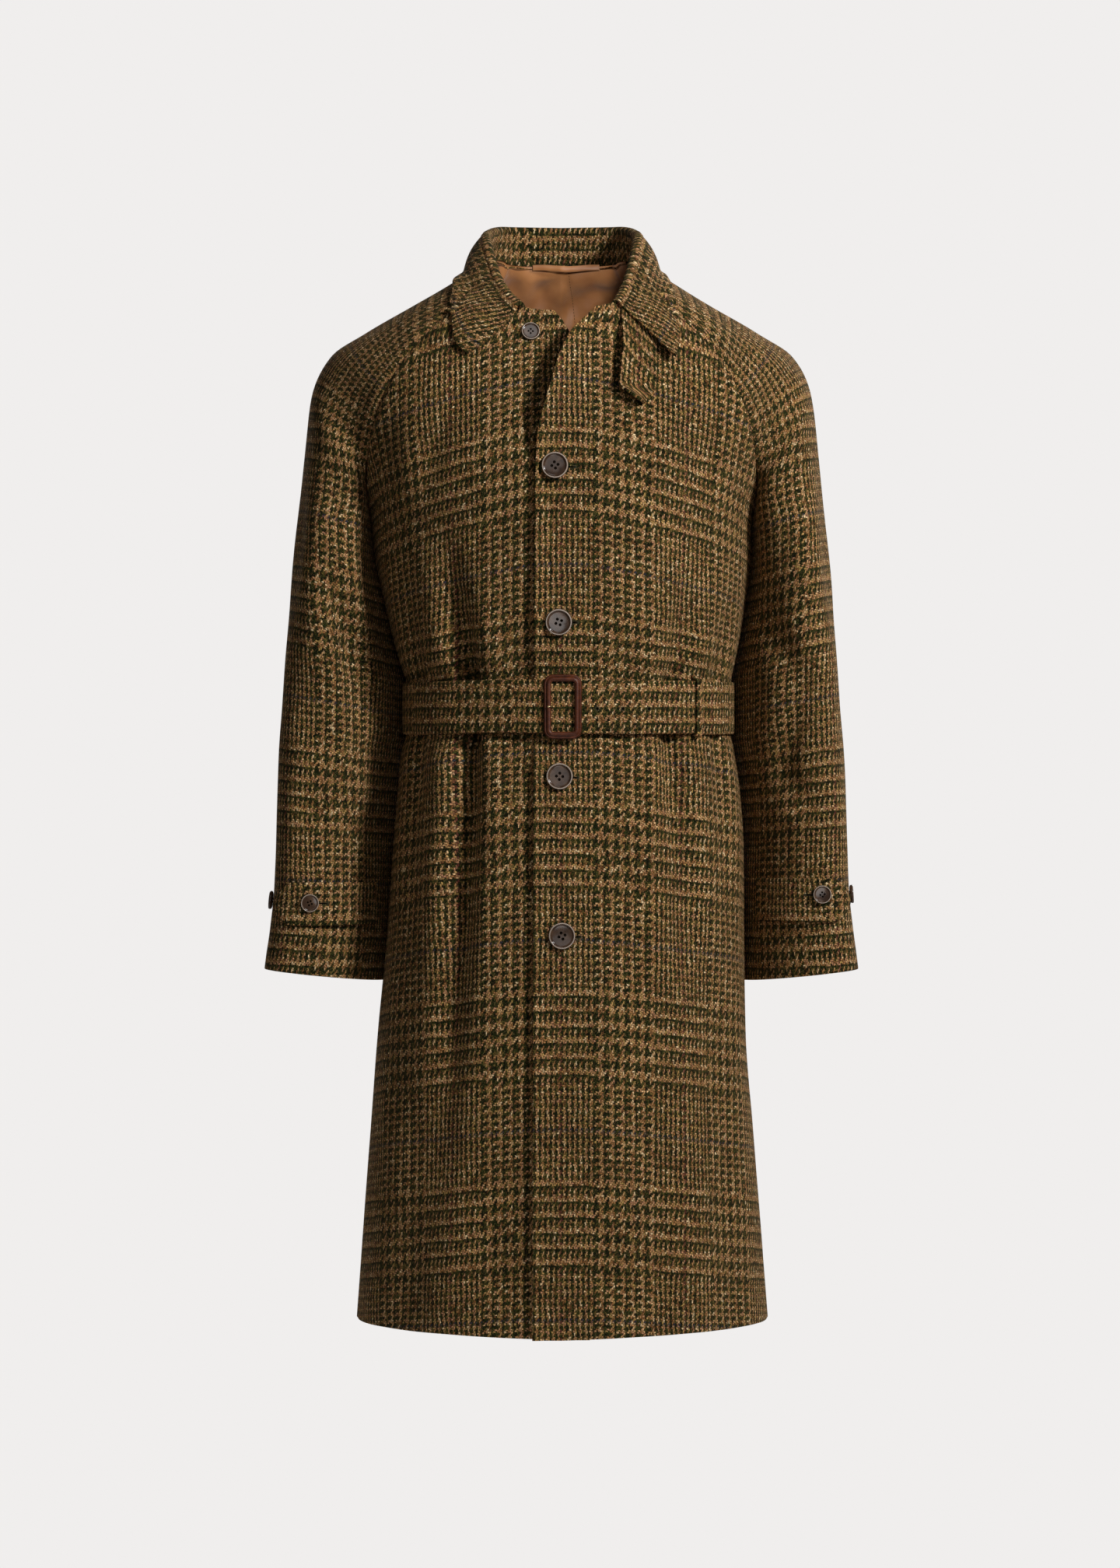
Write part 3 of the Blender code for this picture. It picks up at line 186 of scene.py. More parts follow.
def panel(face, side, columns, edge=None, lift=None):
    """A panel's points in rows from the hem up, with the length along each row and the height on the cut."""
    shares = np.linspace(0.0, 1.0, columns)
    points, across, centres = [], [], []
    for key in ROWS:
        own, other = half_row(face, side, key), half_row(face, -side, key)[::-1]
        line = np.concatenate([other, own[1:]])
        lengths = lengths_of(line) - lengths_of(other)[-1]
        span = lengths[-1]
        start = 0.0 if edge is None else read(FRONT_EDGE, own[0, 2])[edge]
        at = start + (span - start) * shares
        row = along(line, lengths, at)
        if lift is not None:
            ahead = along(line, lengths, at + NEARBY) - along(line, lengths, at - NEARBY)
            out = unit(np.stack([ahead[:, 1], -ahead[:, 0], np.zeros(columns)], axis=1))
            out *= np.where((out * row).sum(axis=1, keepdims=True) < 0, -1.0, 1.0)
            row += out * lift(at, own[0, 2])[:, None]
        share = np.clip(at / span, 0.0, 1.0)
        low = max(0.0, 1.0 - (own[0, 2] - HEM) / HEM_REACH) if key <= 0 else 0.0
        row[:, 2] += HEM_RISE * share * (2.0 - share) * low
        points.append(row)
        across.append(at - (start if edge is None else read(FRONT_EDGE, HEM)[edge]))
        centres.append(own[0])
    heights = HEM + lengths_of(np.array(centres))
    return np.array(points), np.array(across), np.repeat(heights[:, None], columns, axis=1)


def facing_of(grid, middle):
    """Directions out of a sheet's face, away from the middle of what it goes round."""
    directions = unit(np.cross(np.gradient(grid, axis=1), np.gradient(grid, axis=0)))
    return directions if ((grid - middle) * directions).sum() > 0 else -directions


def softened(values, rounds):
    """Evens out a grid of values with its neighbours."""
    for _ in range(rounds):
        for axis in (0, 1):
            count = values.shape[axis]
            padded = np.concatenate([np.take(values, [0], axis), values, np.take(values, [-1], axis)], axis)
            before = np.take(padded, range(count), axis)
            after = np.take(padded, range(2, count + 2), axis)
            values = (before + 2 * values + after) / 4
    return values


# A crease follows its way over the cut (length along the row, height). Width grows from its first to its
# last value, near and far are the ridges on its two sides, and fade is how much runs out at each end
Crease = namedtuple("Crease", "way depth width near far fade")
RIDGE_PLACE, RIDGE_WIDTH = 2.1, 1.3


def pressed(across, heights, creases):
    """How far creases push each point of a sheet out of its face."""
    push = np.zeros(across.shape)
    for crease in creases:
        way = np.array(crease.way)
        steps = np.linalg.norm(np.diff(way, axis=0), axis=1)
        nearest = np.full(across.shape, np.inf)
        side, place, run = np.zeros(across.shape), np.zeros(across.shape), 0.0
        for start, (du, dv), step in zip(way, np.diff(way, axis=0) / steps[:, None], steps):
            u, v = across - start[0], heights - start[1]
            s = np.clip(u * du + v * dv, 0.0, step)
            gap = np.hypot(u - s * du, v - s * dv)
            closer = gap < nearest
            nearest = np.where(closer, gap, nearest)
            side = np.where(closer, np.sign(u * dv - v * du), side)
            place = np.where(closer, (run + s) / steps.sum(), place)
            run += step
        width = crease.width[0] + (crease.width[1] - crease.width[0]) * place
        begins = ease(0.0, crease.fade[0] + 1e-6, place)
        ends = ease(0.0, crease.fade[1] + 1e-6, 1 - place)
        off = nearest * side / width
        ridges = crease.near * np.exp(-(((off - RIDGE_PLACE) / RIDGE_WIDTH) ** 2))
        ridges += crease.far * np.exp(-(((off + RIDGE_PLACE) / RIDGE_WIDTH) ** 2))
        push += crease.depth * begins * ends * (ridges - np.exp(-off ** 2))
    return push


def slack(across, heights, depth, seed):
    """The broad uneven give of hung cloth."""
    first = np.sin(across * 61 + 2.1 * np.sin(heights * 13 + seed)) * np.sin(heights * 21 + 1.7 * seed)
    second = np.sin(across * 103 - heights * 9 + 3.3 * seed) * np.sin(heights * 37 - across * 17 + seed)
    return depth * (0.65 * first + 0.35 * second)


def drooped(across, heights):
    """The cloth hangs from the neck, so its bars bend down towards the sides."""
    slope = DROOP + DROOP * ease(-0.42, -0.20, heights)
    past = np.maximum(np.abs(across) - DROOP_FROM, 0.0)
    return heights + slope * past * past / (past + DROOP_BEND)


def make_sheet(name, form, facing, cut, thickness, materials, offset=-1.0, joined_row=None):
    """A sheet of cloth: a grid moved on to its form, its cut as UV map, with thickness and soft edges."""
    rows, columns = form.shape[:2]
    sheet = bmesh.new()
    bmesh.ops.create_grid(sheet, x_segments=columns - 1, y_segments=rows - 1, size=0.5)
    sheet.verts.index_update()
    spots = [(round((v.co.y + 0.5) * (rows - 1)), round((v.co.x + 0.5) * (columns - 1)))
             for v in sheet.verts]
    layer = sheet.loops.layers.uv.new("cut")
    for face in sheet.faces:
        for loop in face.loops:
            loop[layer].uv = cut[spots[loop.vert.index]]
    for vert, spot in zip(sheet.verts, spots):
        vert.co = form[spot]
    sheet.normal_update()
    sheet.faces.ensure_lookup_table()
    middle = sheet.faces[len(sheet.faces) // 2]
    if middle.normal.dot(Vector(facing[spots[middle.verts[0].index]])) < 0:
        bmesh.ops.reverse_faces(sheet, faces=sheet.faces)
    if joined_row is not None:
        ends = [vert for vert, (row, column) in zip(sheet.verts, spots)
                if row >= joined_row and column in (0, columns - 1)]
        bmesh.ops.remove_doubles(sheet, verts=ends, dist=1e-6)
    mesh = bpy.data.meshes.new(name)
    sheet.to_mesh(mesh)
    sheet.free()
    mesh.shade_smooth()
    made = bpy.data.objects.new(name, mesh)
    bpy.context.scene.collection.objects.link(made)
    for stuff in materials:
        mesh.materials.append(stuff)
    wall = made.modifiers.new("thickness", "SOLIDIFY")
    wall.thickness = thickness
    wall.offset = offset
    wall.material_offset = len(materials) - 1
    edges = made.modifiers.new("soft_edges", "BEVEL")
    edges.limit_method = "ANGLE"
    edges.angle_limit = math.radians(EDGE_ANGLE)
    edges.width = thickness * EDGE_SHARE
    edges.segments = 2
    return made


def colour(code):
    """A hex sRGB colour as linear RGBA."""
    parts = [int(code[k:k + 2], 16) / 255 for k in (1, 3, 5)]
    return (*(part / 12.92 if part <= 0.04045 else ((part + 0.055) / 1.055) ** 2.4 for part in parts), 1.0)


def set_inputs(stuff, node, inputs):
    """Sets a node's inputs to values, to sockets, or to the first output in use of other nodes."""
    for name, value in inputs.items():
        if isinstance(value, bpy.types.Node):
            value = next(output for output in value.outputs if output.enabled)
        if isinstance(value, bpy.types.NodeSocket):
            stuff.node_tree.links.new(value, node.inputs[name])
        else:
            node.inputs[name].default_value = value


def add(stuff, kind, inputs=None, **settings):
    """Adds a shader node to a material or a world, with its settings and inputs."""
    node = stuff.node_tree.nodes.new("ShaderNode" + kind)
    for name, value in settings.items():
        setattr(node, name, value)
    set_inputs(stuff, node, inputs or {})
    return node


def new_material(name, roughness, shine):
    stuff = bpy.data.materials.new(name)
    stuff.use_nodes = True
    shader = stuff.node_tree.nodes["Principled BSDF"]
    set_inputs(stuff, shader, {"Roughness": roughness, "Specular IOR Level": shine})
    return stuff, shader


def stops(ramp, *pairs):
    """Sets the colours of a ramp."""
    ramp = ramp.color_ramp
    while len(ramp.elements) < len(pairs):
        ramp.elements.new(0.5)
    for element, (place, code) in zip(ramp.elements, pairs):
        element.position = place
        element.color = colour(code)


# Woollen tweed in a glen check: 2/2 twill with warp and weft in bands of four dark and four light ends,
# then two and two, so the bands cross in large teeth, bars and fine lines. The thread spacing, 1.35 mm
# in the warp and 1.99 mm in the weft, comes from the size of the check. Each float of the mottled,
# hairy yarn stands out as a small grain with a bump; its lit top and the dark shade round it are painted
# into the colour as painted highlight and painted shade.
WARP, WEFT = 0.001353, 0.00199
REPEAT = 96
FLOAT_ROUND = 0.9
LINE_PLACE, LINE_REACH = 0.745, 0.011
tweed, shader = new_material("woollen_tweed", 0.95, 0.12)
set_inputs(tweed, shader, {"Sheen Weight": 0.16, "Sheen Roughness": 0.45, "Sheen Tint": colour("#C8A878")})
cut = add(tweed, "UVMap", uv_map="cut")
sway = add(tweed, "TexNoise", {"Vector": cut, "Scale": 1 / 0.014, "Detail": 1.0}).outputs["Color"]
fuzz = add(tweed, "TexNoise", {"Vector": cut, "Scale": 1 / 0.0012, "Detail": 2.0}).outputs["Color"]
swayed = add(tweed, "VectorMath", {0: sway, 1: (0.0030, 0.0030, 0.0), 2: cut}, operation="MULTIPLY_ADD")
hairy = add(tweed, "VectorMath", {0: fuzz, 1: (0.0024, 0.0032, 0.0), 2: swayed}, operation="MULTIPLY_ADD")
threads = add(tweed, "VectorMath", {0: hairy, 1: (WARP, WEFT, 1.0)}, operation="DIVIDE")
ends = add(tweed, "VectorMath", {0: threads}, operation="FLOOR")
within = add(tweed, "VectorMath", {0: threads}, operation="FRACTION")
bands = {}
for band, count in (("four", 8), ("two", 4), ("zone", REPEAT)):
    share = add(tweed, "VectorMath", {0: ends, 1: (count, count, 1.0)}, operation="DIVIDE")
    share = add(tweed, "VectorMath", {0: share}, operation="FRACTION")
    if band == "zone":
        in_repeat = share
    share = add(tweed, "VectorMath", {0: share, 1: (2.0, 2.0, 2.0)}, operation="MULTIPLY")
    bands[band] = add(tweed, "VectorMath", {0: share}, operation="FLOOR")
change = add(tweed, "VectorMath", {0: bands["two"], 1: bands["four"]}, operation="SUBTRACT")
pale = add(tweed, "VectorMath", {0: bands["zone"], 1: change, 2: bands["four"]}, operation="MULTIPLY_ADD")
pale = add(tweed, "SeparateXYZ", {0: pale})
slope = add(tweed, "VectorMath", {0: ends, 1: (0.25, -0.25, 0.0)}, operation="DOT_PRODUCT")
slope = add(tweed, "Math", {0: slope, 1: 0.75}, operation="ADD")
phase = add(tweed, "Math", {0: slope}, operation="FRACT")
weft_up = add(tweed, "Math", {0: phase, 1: 0.49}, operation="GREATER_THAN")
is_pale = add(tweed, "Mix", {0: weft_up, 2: pale.outputs["X"], 3: pale.outputs["Y"]})
# Place along and across the float that lies on top
inside = add(tweed, "SeparateXYZ", {0: within})
down_warp = add(tweed, "Math", {0: phase, 1: -2.0, 2: 0.5}, operation="MULTIPLY_ADD")
down_warp = add(tweed, "Math", {0: inside.outputs["Y"], 1: 0.5, 2: down_warp}, operation="MULTIPLY_ADD")
down_weft = add(tweed, "Math", {0: phase, 1: 2.0, 2: -1.0}, operation="MULTIPLY_ADD")
down_weft = add(tweed, "Math", {0: inside.outputs["X"], 1: 0.5, 2: down_weft}, operation="MULTIPLY_ADD")
lengthways = add(tweed, "Mix", {0: weft_up, 2: down_warp, 3: down_weft})
sideways = add(tweed, "Mix", {0: weft_up, 2: inside.outputs["X"], 3: inside.outputs["Y"]})
rounds = []
for share in (lengthways, sideways):
    arch = add(tweed, "Math", {0: share, 1: math.pi}, operation="MULTIPLY")
    arch = add(tweed, "Math", {0: arch}, operation="SINE")
    rounds.append(add(tweed, "Math", {0: arch, 1: FLOAT_ROUND}, operation="POWER"))
grain = add(tweed, "Math", {0: rounds[0], 1: rounds[1]}, operation="MULTIPLY")
# Every float has its own shade of its yarn
thread_at = add(tweed, "SeparateXYZ", {0: ends})
own = add(tweed, "Mix", {0: weft_up, 2: thread_at.outputs["X"], 3: thread_at.outputs["Y"]})
turn = add(tweed, "Math", {0: slope}, operation="FLOOR")
float_at = add(tweed, "CombineXYZ", {0: own, 1: turn, 2: weft_up})
chance = add(tweed, "TexWhiteNoise", {"Vector": float_at})
camel = add(tweed, "ValToRGB", {0: chance})
stops(camel, (0.00, "#5A3A20"), (0.14, "#8E6238"), (0.32, "#AC7E50"), (0.48, "#B48260"), (0.62, "#A8874C"),
      (0.78, "#C19565"), (0.92, "#D1A97A"), (1.00, "#E7CA9C"))
bottle = add(tweed, "ValToRGB", {0: chance})
stops(bottle, (0.00, "#0E1206"), (0.32, "#19200A"), (0.62, "#263010"), (0.84, "#3E3E1A"), (1.00, "#6C592C"))
yarn = add(tweed, "Mix", {0: is_pale, 6: bottle, 7: camel}, data_type="RGBA")
# In each repeat a few picks are blue and a few ends are wine, and show where they lie on top
repeat = add(tweed, "SeparateXYZ", {0: in_repeat})
for axis, meets, share, code in (("Y", "MULTIPLY", 0.42, "#333850"), ("X", "GREATER_THAN", 0.6, "#6A3430")):
    line = add(tweed, "Math", {0: repeat.outputs[axis], 1: LINE_PLACE, 2: LINE_REACH}, operation="COMPARE")
    line = add(tweed, "Math", {0: line, 1: weft_up}, operation=meets)
    line = add(tweed, "Math", {0: line, 1: share}, operation="MULTIPLY")
    yarn = add(tweed, "Mix", {0: line, 6: yarn, 7: colour(code)}, data_type="RGBA")
# Fibres of 0.8 by 1.6 mm, drawn a little coarser than real wool so that they show
strokes = add(tweed, "VectorMath", {0: cut, 1: (1 / 0.0008, 1 / 0.0016, 1.0)}, operation="MULTIPLY")
fibres = add(tweed, "TexNoise", {"Vector": strokes, "Scale": 1.0, "Detail": 3.0, "Roughness": 0.7})
mottle = add(tweed, "MapRange", {0: fibres, 1: 0.28, 2: 0.72, 3: 0.30, 4: 1.70})
# Painted shade and highlight: each float's colour is darkened towards its edges and ends and lightened on its
# top
painted_float_shade = add(tweed, "MapRange", {0: grain, 1: 0.05, 2: 0.95, 3: 0.25, 4: 1.82})
mottle = add(tweed, "Math", {0: mottle, 1: painted_float_shade}, operation="MULTIPLY")
cloudy = add(tweed, "TexNoise", {"Vector": cut, "Scale": 1 / 0.045, "Detail": 2.0})
cloudy = add(tweed, "MapRange", {0: cloudy, 1: 0.3, 2: 0.7, 3: 0.88, 4: 1.12})
mottle = add(tweed, "Math", {0: mottle, 1: cloudy}, operation="MULTIPLY")
# The yarn's colour is multiplied by the fibre mottle, the painted float shade and highlight, and the clouds
yarn = add(tweed, "Mix", {0: 1.0, 6: yarn, 7: mottle}, data_type="RGBA", blend_type="MULTIPLY")
# Loose hairs of the nap, 0.5 by 4 mm, lie over the weave in two slants
for slant, tip in ((0.6, "#C4A06C"), (-0.9, "#8A6E3C")):
    combed = add(tweed, "VectorRotate", {"Vector": cut, "Angle": slant}, rotation_type="Z_AXIS")
    combed = add(tweed, "VectorMath", {0: combed, 1: (1 / 0.0005, 1 / 0.004, 1.0)}, operation="MULTIPLY")
    hairs = add(tweed, "TexNoise", {"Vector": combed, "Scale": 1.0, "Detail": 1.0})
    hairs = add(tweed, "MapRange", {0: hairs, 1: 0.60, 2: 0.74, 3: 0.0, 4: 0.5})
    yarn = add(tweed, "Mix", {0: hairs, 6: yarn, 7: colour(tip)}, data_type="RGBA")
relief = add(tweed, "Math", {0: fibres, 1: 0.9, 2: grain}, operation="MULTIPLY_ADD")
bump = add(tweed, "Bump", {"Height": relief, "Distance": 0.0007, "Strength": 0.8})
set_inputs(tweed, shader, {"Base Color": yarn, "Normal": bump})

# Copper twill lining: smooth filament yarn in a fine steep twill, drawn at 0.9 mm so that it shows,
# with a soft gloss that breaks up in small puckers. Twill lines and puckers are also painted into the
# colour as shade: darker in their dips, lighter on their tops.
lining, shader = new_material("copper_twill_lining", 0.42, 0.4)
cut = add(lining, "UVMap", uv_map="cut")
twill = add(lining, "TexWave", {"Vector": cut, "Scale": 0.314 / 0.0009, "Distortion": 0.6, "Detail": 1.0},
            bands_direction="DIAGONAL")
puckers = add(lining, "TexNoise", {"Vector": cut, "Scale": 1 / 0.03, "Detail": 3.0})
# Painted shade: the copper is darker where the puckers dip and lighter on their tops
copper_with_painted_pucker_shade = add(lining, "ValToRGB", {0: puckers})
stops(copper_with_painted_pucker_shade, (0.25, "#7E4F2B"), (0.55, "#946238"), (0.80, "#A67144"))
# Painted shade: the twill lines darken the copper a little
copper_with_painted_pucker_shade = add(lining, "Mix", {0: 0.10, 6: copper_with_painted_pucker_shade, 7: twill}, data_type="RGBA", blend_type="MULTIPLY")
relief = add(lining, "Math", {0: puckers, 1: 6.0, 2: twill.outputs["Fac"]}, operation="MULTIPLY_ADD")
bump = add(lining, "Bump", {"Height": relief, "Distance": 0.0004, "Strength": 0.4})
set_inputs(lining, shader, {"Base Color": copper_with_painted_pucker_shade, "Normal": bump, "Sheen Weight": 0.15})

# Where the check starts on each piece: lengths along the row and heights at which a band of four begins.
# FAR moves the whole cut by full repeats, so that no thread has a number below zero
FAR = (20 * REPEAT * WARP, 20 * REPEAT * WEFT)
BAR_START, RIGHT_FIRST_END = -0.4081, -0.0435 - REPEAT / 2 * WARP


def on_check(across, heights, first_end, first_pick=BAR_START):
    return np.stack([across - first_end + FAR[0], heights - first_pick + FAR[1]], axis=-1)


def hand_over(piece, node=None):
    """Lets a piece ride on the coat, in place of the solid that it dresses."""
    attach(piece, "root")
    if node is not None:
        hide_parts(node)


def seam_dip(away):
    """How far cloth sinks where it is sewn to its neighbour."""
    ridge = SEAM_RIDGE * np.exp(-(((away - RIDGE_AWAY) / RIDGE_REACH) ** 2))
    return ridge - SEAM_SINK * np.exp(-((away / SINK_REACH) ** 2))


# The dip of the raglan and side seams fades out towards the underarm, where the pieces fold on each other
SEWN_DOWN = np.where(ROWS > 0, ease(0.0, 0.5, ROWS), ease(0.0, 0.030, -ROWS))[:, None]


def belted(push, heights):
    """Ridges flatten under the belt, troughs stay."""
    clear = ease(*UNDER_BELT, np.abs(heights - BELT_HEIGHT))
    return np.where(push > 0, push * clear, push)


def folded(across, heights, creases, give, seed, held=1.0):
    """How far the folds of a body panel stand out, running out and dipping towards its sewn side."""
    folds = softened(pressed(across, heights, creases) + slack(across, heights, give, seed), FOLD_ROUNDS)
    to_seam = across[:, -1:] - across
    return belted(folds, heights) * held * ease(0.0, SEAM_HOLD, to_seam) + SEWN_DOWN * seam_dip(to_seam)


def sewn_in(grid, row_slice, edge, inner):
    """Lets an edge reach a little into its neighbour, so that no light comes through the seam."""
    grid[row_slice, edge] -= unit(grid[row_slice, inner] - grid[row_slice, edge]) * SEWN_IN


RIGHT_CREASES = [
    Crease([(0.158, -0.200), (0.147, -0.266), (0.135, -0.329), (0.1285, -0.385), (0.1275, -0.445)],
           0.0215, (0.016, 0.0112), 0.36, 0.32, (0.75, 0.0)),
    Crease([(0.1275, -0.385), (0.1275, -0.443), (0.130, -0.533), (0.136, -0.628), (0.146, -0.746),
            (0.155, -0.880), (0.158, -1.030)], 0.0215, (0.0112, 0.022), 0.32, 0.36, (0.0, 0.85)),
    Crease([(0.214, -0.215), (0.206, -0.290), (0.198, -0.385), (0.197, -0.445), (0.203, -0.560),
            (0.214, -0.700)], 0.0075, (0.012, 0.014), 0.4, 0.2, (0.5, 0.6)),
    Crease([(0.070, -0.330), (0.073, -0.400), (0.074, -0.440), (0.076, -0.520)],
           0.0045, (0.012, 0.012), 0.2, 0.2, (0.6, 0.6)),
    Crease([(0.176, -0.560), (0.186, -0.760), (0.196, -1.050)],
           0.0060, (0.020, 0.030), 0.35, 0.35, (0.6, 0.0)),
    Crease([(0.085, -0.620), (0.090, -0.820), (0.093, -1.050)], 0.0045, (0.022, 0.030), 0.4, 0.4, (0.6, 0.0)),
    Crease([(0.120, -0.060), (0.165, -0.150), (0.180, -0.235)], 0.0050, (0.013, 0.016), 0.3, 0.4, (0.5, 0.5)),
]


def body_middle(grid):
    return grid * np.array([0.0, 0.0, 1.0])


fronts = {}
fronts[RIGHT], across, heights = panel("front", RIGHT, FRONT_COLUMNS, EDGE_OF[RIGHT])
right_form = fronts[RIGHT].copy()
right_facing = facing_of(right_form, body_middle(right_form))
push = folded(across, heights, RIGHT_CREASES, GIVE, 1.0)
sewn_in(right_form, slice(None), -1, -2)
right_form += right_facing * push[..., None]
right_cut = on_check(-across, drooped(across, heights), RIGHT_FIRST_END)
front_right = make_sheet("tweed_front_right", right_form, right_facing, right_cut, CLOTH, [tweed, lining])
hand_over(front_right, "front_right")


# The left front: cut like the right one, with a turned edge that laps over it and rolls away from it
# above the first button. It is buttoned through and shows the softer folds of the belt.
LAP = CLOTH + 0.0007
LAP_FADE = (0.040, 0.105)
ROLL, ROLL_REACH, ROLL_STARTS = 0.0240, 0.070, (-0.165, -0.085)
EDGE_STAND, EDGE_REACH, EDGE_FREE = 0.0036, 0.014, (0.032, 0.075)
EDGE_RIDGE, EDGE_RIDGE_AWAY, EDGE_RIDGE_REACH = 0.0007, 0.006, 0.004
LEFT_GIVE, LEFT_FIRST_END = 0.0011, 0.063


def left_lap(at, height):
    """How far the left front lies off the right one: flat where it is buttoned, rolling out at the neck."""
    lap = LAP * (1.0 - ease(*LAP_FADE, at))
    start = read(FRONT_EDGE, height)[0]
    free = ease(*EDGE_FREE, abs(height - BELT_HEIGHT))
    lap += EDGE_STAND * free * (1.0 - ease(0.0, EDGE_REACH, at - start))
    open_neck = ease(*ROLL_STARTS, height) * (1.0 - 0.35 * ease(-0.030, -0.006, height))
    reach = ROLL_REACH * (1.0 - 0.4 * ease(-0.050, -0.012, height))
    return lap + ROLL * open_neck * (1.0 - ease(-0.010, reach, at - start))


LEFT_CREASES = [
    Crease([(0.172, -0.215), (0.163, -0.290), (0.154, -0.350), (0.147, -0.385), (0.1445, -0.445)],
           0.0110, (0.015, 0.0105), 0.28, 0.34, (0.8, 0.0)),
    Crease([(0.1445, -0.385), (0.1445, -0.443), (0.149, -0.500), (0.158, -0.580), (0.161, -0.690),
            (0.163, -0.800)], 0.0120, (0.0100, 0.018), 0.34, 0.30, (0.0, 0.85)),
    Crease([(0.228, -0.225), (0.221, -0.300), (0.212, -0.385), (0.211, -0.445), (0.219, -0.560),
            (0.229, -0.680)], 0.0070, (0.012, 0.014), 0.2, 0.4, (0.5, 0.6)),
    Crease([(0.098, -0.345), (0.096, -0.400), (0.096, -0.440), (0.099, -0.500)],
           0.0040, (0.012, 0.012), 0.2, 0.2, (0.6, 0.6)),
    Crease([(0.100, -0.560), (0.104, -0.640), (0.108, -0.760)], 0.0035, (0.014, 0.018), 0.3, 0.3, (0.6, 0.6)),
    Crease([(0.195, -0.600), (0.205, -0.800), (0.214, -1.050)],
           0.0060, (0.020, 0.030), 0.35, 0.35, (0.6, 0.0)),
    Crease([(0.120, -0.760), (0.126, -0.900), (0.130, -1.050)], 0.0040, (0.024, 0.032), 0.4, 0.4, (0.7, 0.0)),
    Crease([(0.140, -0.070), (0.176, -0.150), (0.190, -0.240)], 0.0035, (0.013, 0.016), 0.3, 0.4, (0.5, 0.5)),
]
fronts[LEFT], across, heights = panel("front", LEFT, FRONT_COLUMNS, EDGE_OF[LEFT], left_lap)
left_form = fronts[LEFT].copy()
left_facing = facing_of(left_form, body_middle(left_form))
from_edge = across - across[:, :1]
push = folded(across, heights, LEFT_CREASES, LEFT_GIVE, 2.3, 0.25 + 0.75 * ease(0.0, 0.05, from_edge))
ridge = EDGE_RIDGE * np.exp(-(((from_edge - EDGE_RIDGE_AWAY) / EDGE_RIDGE_REACH) ** 2))
push += belted(ridge, heights)
sewn_in(left_form, slice(None), -1, -2)
left_form += left_facing * push[..., None]
left_cut = on_check(across, drooped(across, heights), LEFT_FIRST_END)
front_left = make_sheet("tweed_front_left", left_form, left_facing, left_cut, CLOTH, [tweed, lining])
hand_over(front_left, "front_left")


# The back: two halves of the same tweed with a seam down the middle, lined like the fronts. The belt
# gathers it into a few folds that run out towards the hem and the shoulders.
BACK_COLUMNS, BACK_FIRST_END = 70, -REPEAT * WARP * 0.75
BACK_CREASES = {
    LEFT: [
        Crease([(0.062, -0.250), (0.056, -0.330), (0.0525, -0.390), (0.0525, -0.445), (0.058, -0.560),
                (0.070, -0.760)], 0.0130, (0.011, 0.016), 0.3, 0.3, (0.5, 0.8)),
        Crease([(0.166, -0.230), (0.157, -0.330), (0.151, -0.390), (0.151, -0.445), (0.157, -0.560),
                (0.168, -0.730)], 0.0130, (0.011, 0.017), 0.3, 0.3, (0.5, 0.8)),
        Crease([(0.106, -0.600), (0.114, -0.800), (0.120, -1.050)],
               0.0060, (0.022, 0.030), 0.35, 0.35, (0.6, 0.0)),
        Crease([(0.200, -0.560), (0.212, -0.780), (0.224, -1.050)],
               0.0050, (0.020, 0.030), 0.35, 0.35, (0.6, 0.0)),
        Crease([(0.060, 0.000), (0.120, -0.060), (0.170, -0.150)],
               0.0040, (0.016, 0.018), 0.3, 0.3, (0.5, 0.5)),
    ],
    RIGHT: [
        Crease([(0.066, -0.240), (0.058, -0.330), (0.0535, -0.390), (0.0535, -0.445), (0.060, -0.560),
                (0.069, -0.780)], 0.0130, (0.011, 0.017), 0.3, 0.3, (0.5, 0.8)),
        Crease([(0.163, -0.240), (0.154, -0.330), (0.148, -0.390), (0.148, -0.445), (0.156, -0.560),
                (0.170, -0.760)], 0.0130, (0.011, 0.016), 0.3, 0.3, (0.5, 0.8)),
        Crease([(0.110, -0.570), (0.118, -0.800), (0.126, -1.050)],
               0.0050, (0.022, 0.030), 0.35, 0.35, (0.6, 0.0)),
        Crease([(0.204, -0.590), (0.210, -0.800), (0.220, -1.050)],
               0.0060, (0.020, 0.030), 0.35, 0.35, (0.6, 0.0)),
        Crease([(0.066, -0.010), (0.128, -0.070), (0.172, -0.160)],
               0.0040, (0.016, 0.018), 0.3, 0.3, (0.5, 0.5)),
    ],
}
backs, back_forms, back_facings = {}, {}, {}
for side in (LEFT, RIGHT):
    backs[side], across, heights = panel("back", side, BACK_COLUMNS)
    form = backs[side].copy()
    facing = facing_of(form, body_middle(form))
    facing[:, 0] = unit(facing[:, 0] * (0, 1, 1))
    back_facings[side] = facing
    held = 0.2 + 0.8 * ease(0.0, 0.04, across)
    push = folded(across, heights, BACK_CREASES[side], GIVE, 4 + side, held) + seam_dip(across)
    sewn_in(form, slice(None), -1, -2)
    form[:, 0, 0] -= side * SEWN_IN
    form += facing * push[..., None]
    back_forms[side] = form
    cut = on_check(-side * across, drooped(across, heights), BACK_FIRST_END)
    half = make_sheet("tweed_back_" + NAMES[side], form, facing, cut, CLOTH, [tweed, lining])
    hand_over(half, "back_" + NAMES[side])
back_heights = heights[:, :1]


# The sleeves: raglan sleeves of the tweed, each cut in one from the neck to the cuff, sewn to front and
# back in the slanting seams and closed by a seam under the arm. They hang a little behind the body.

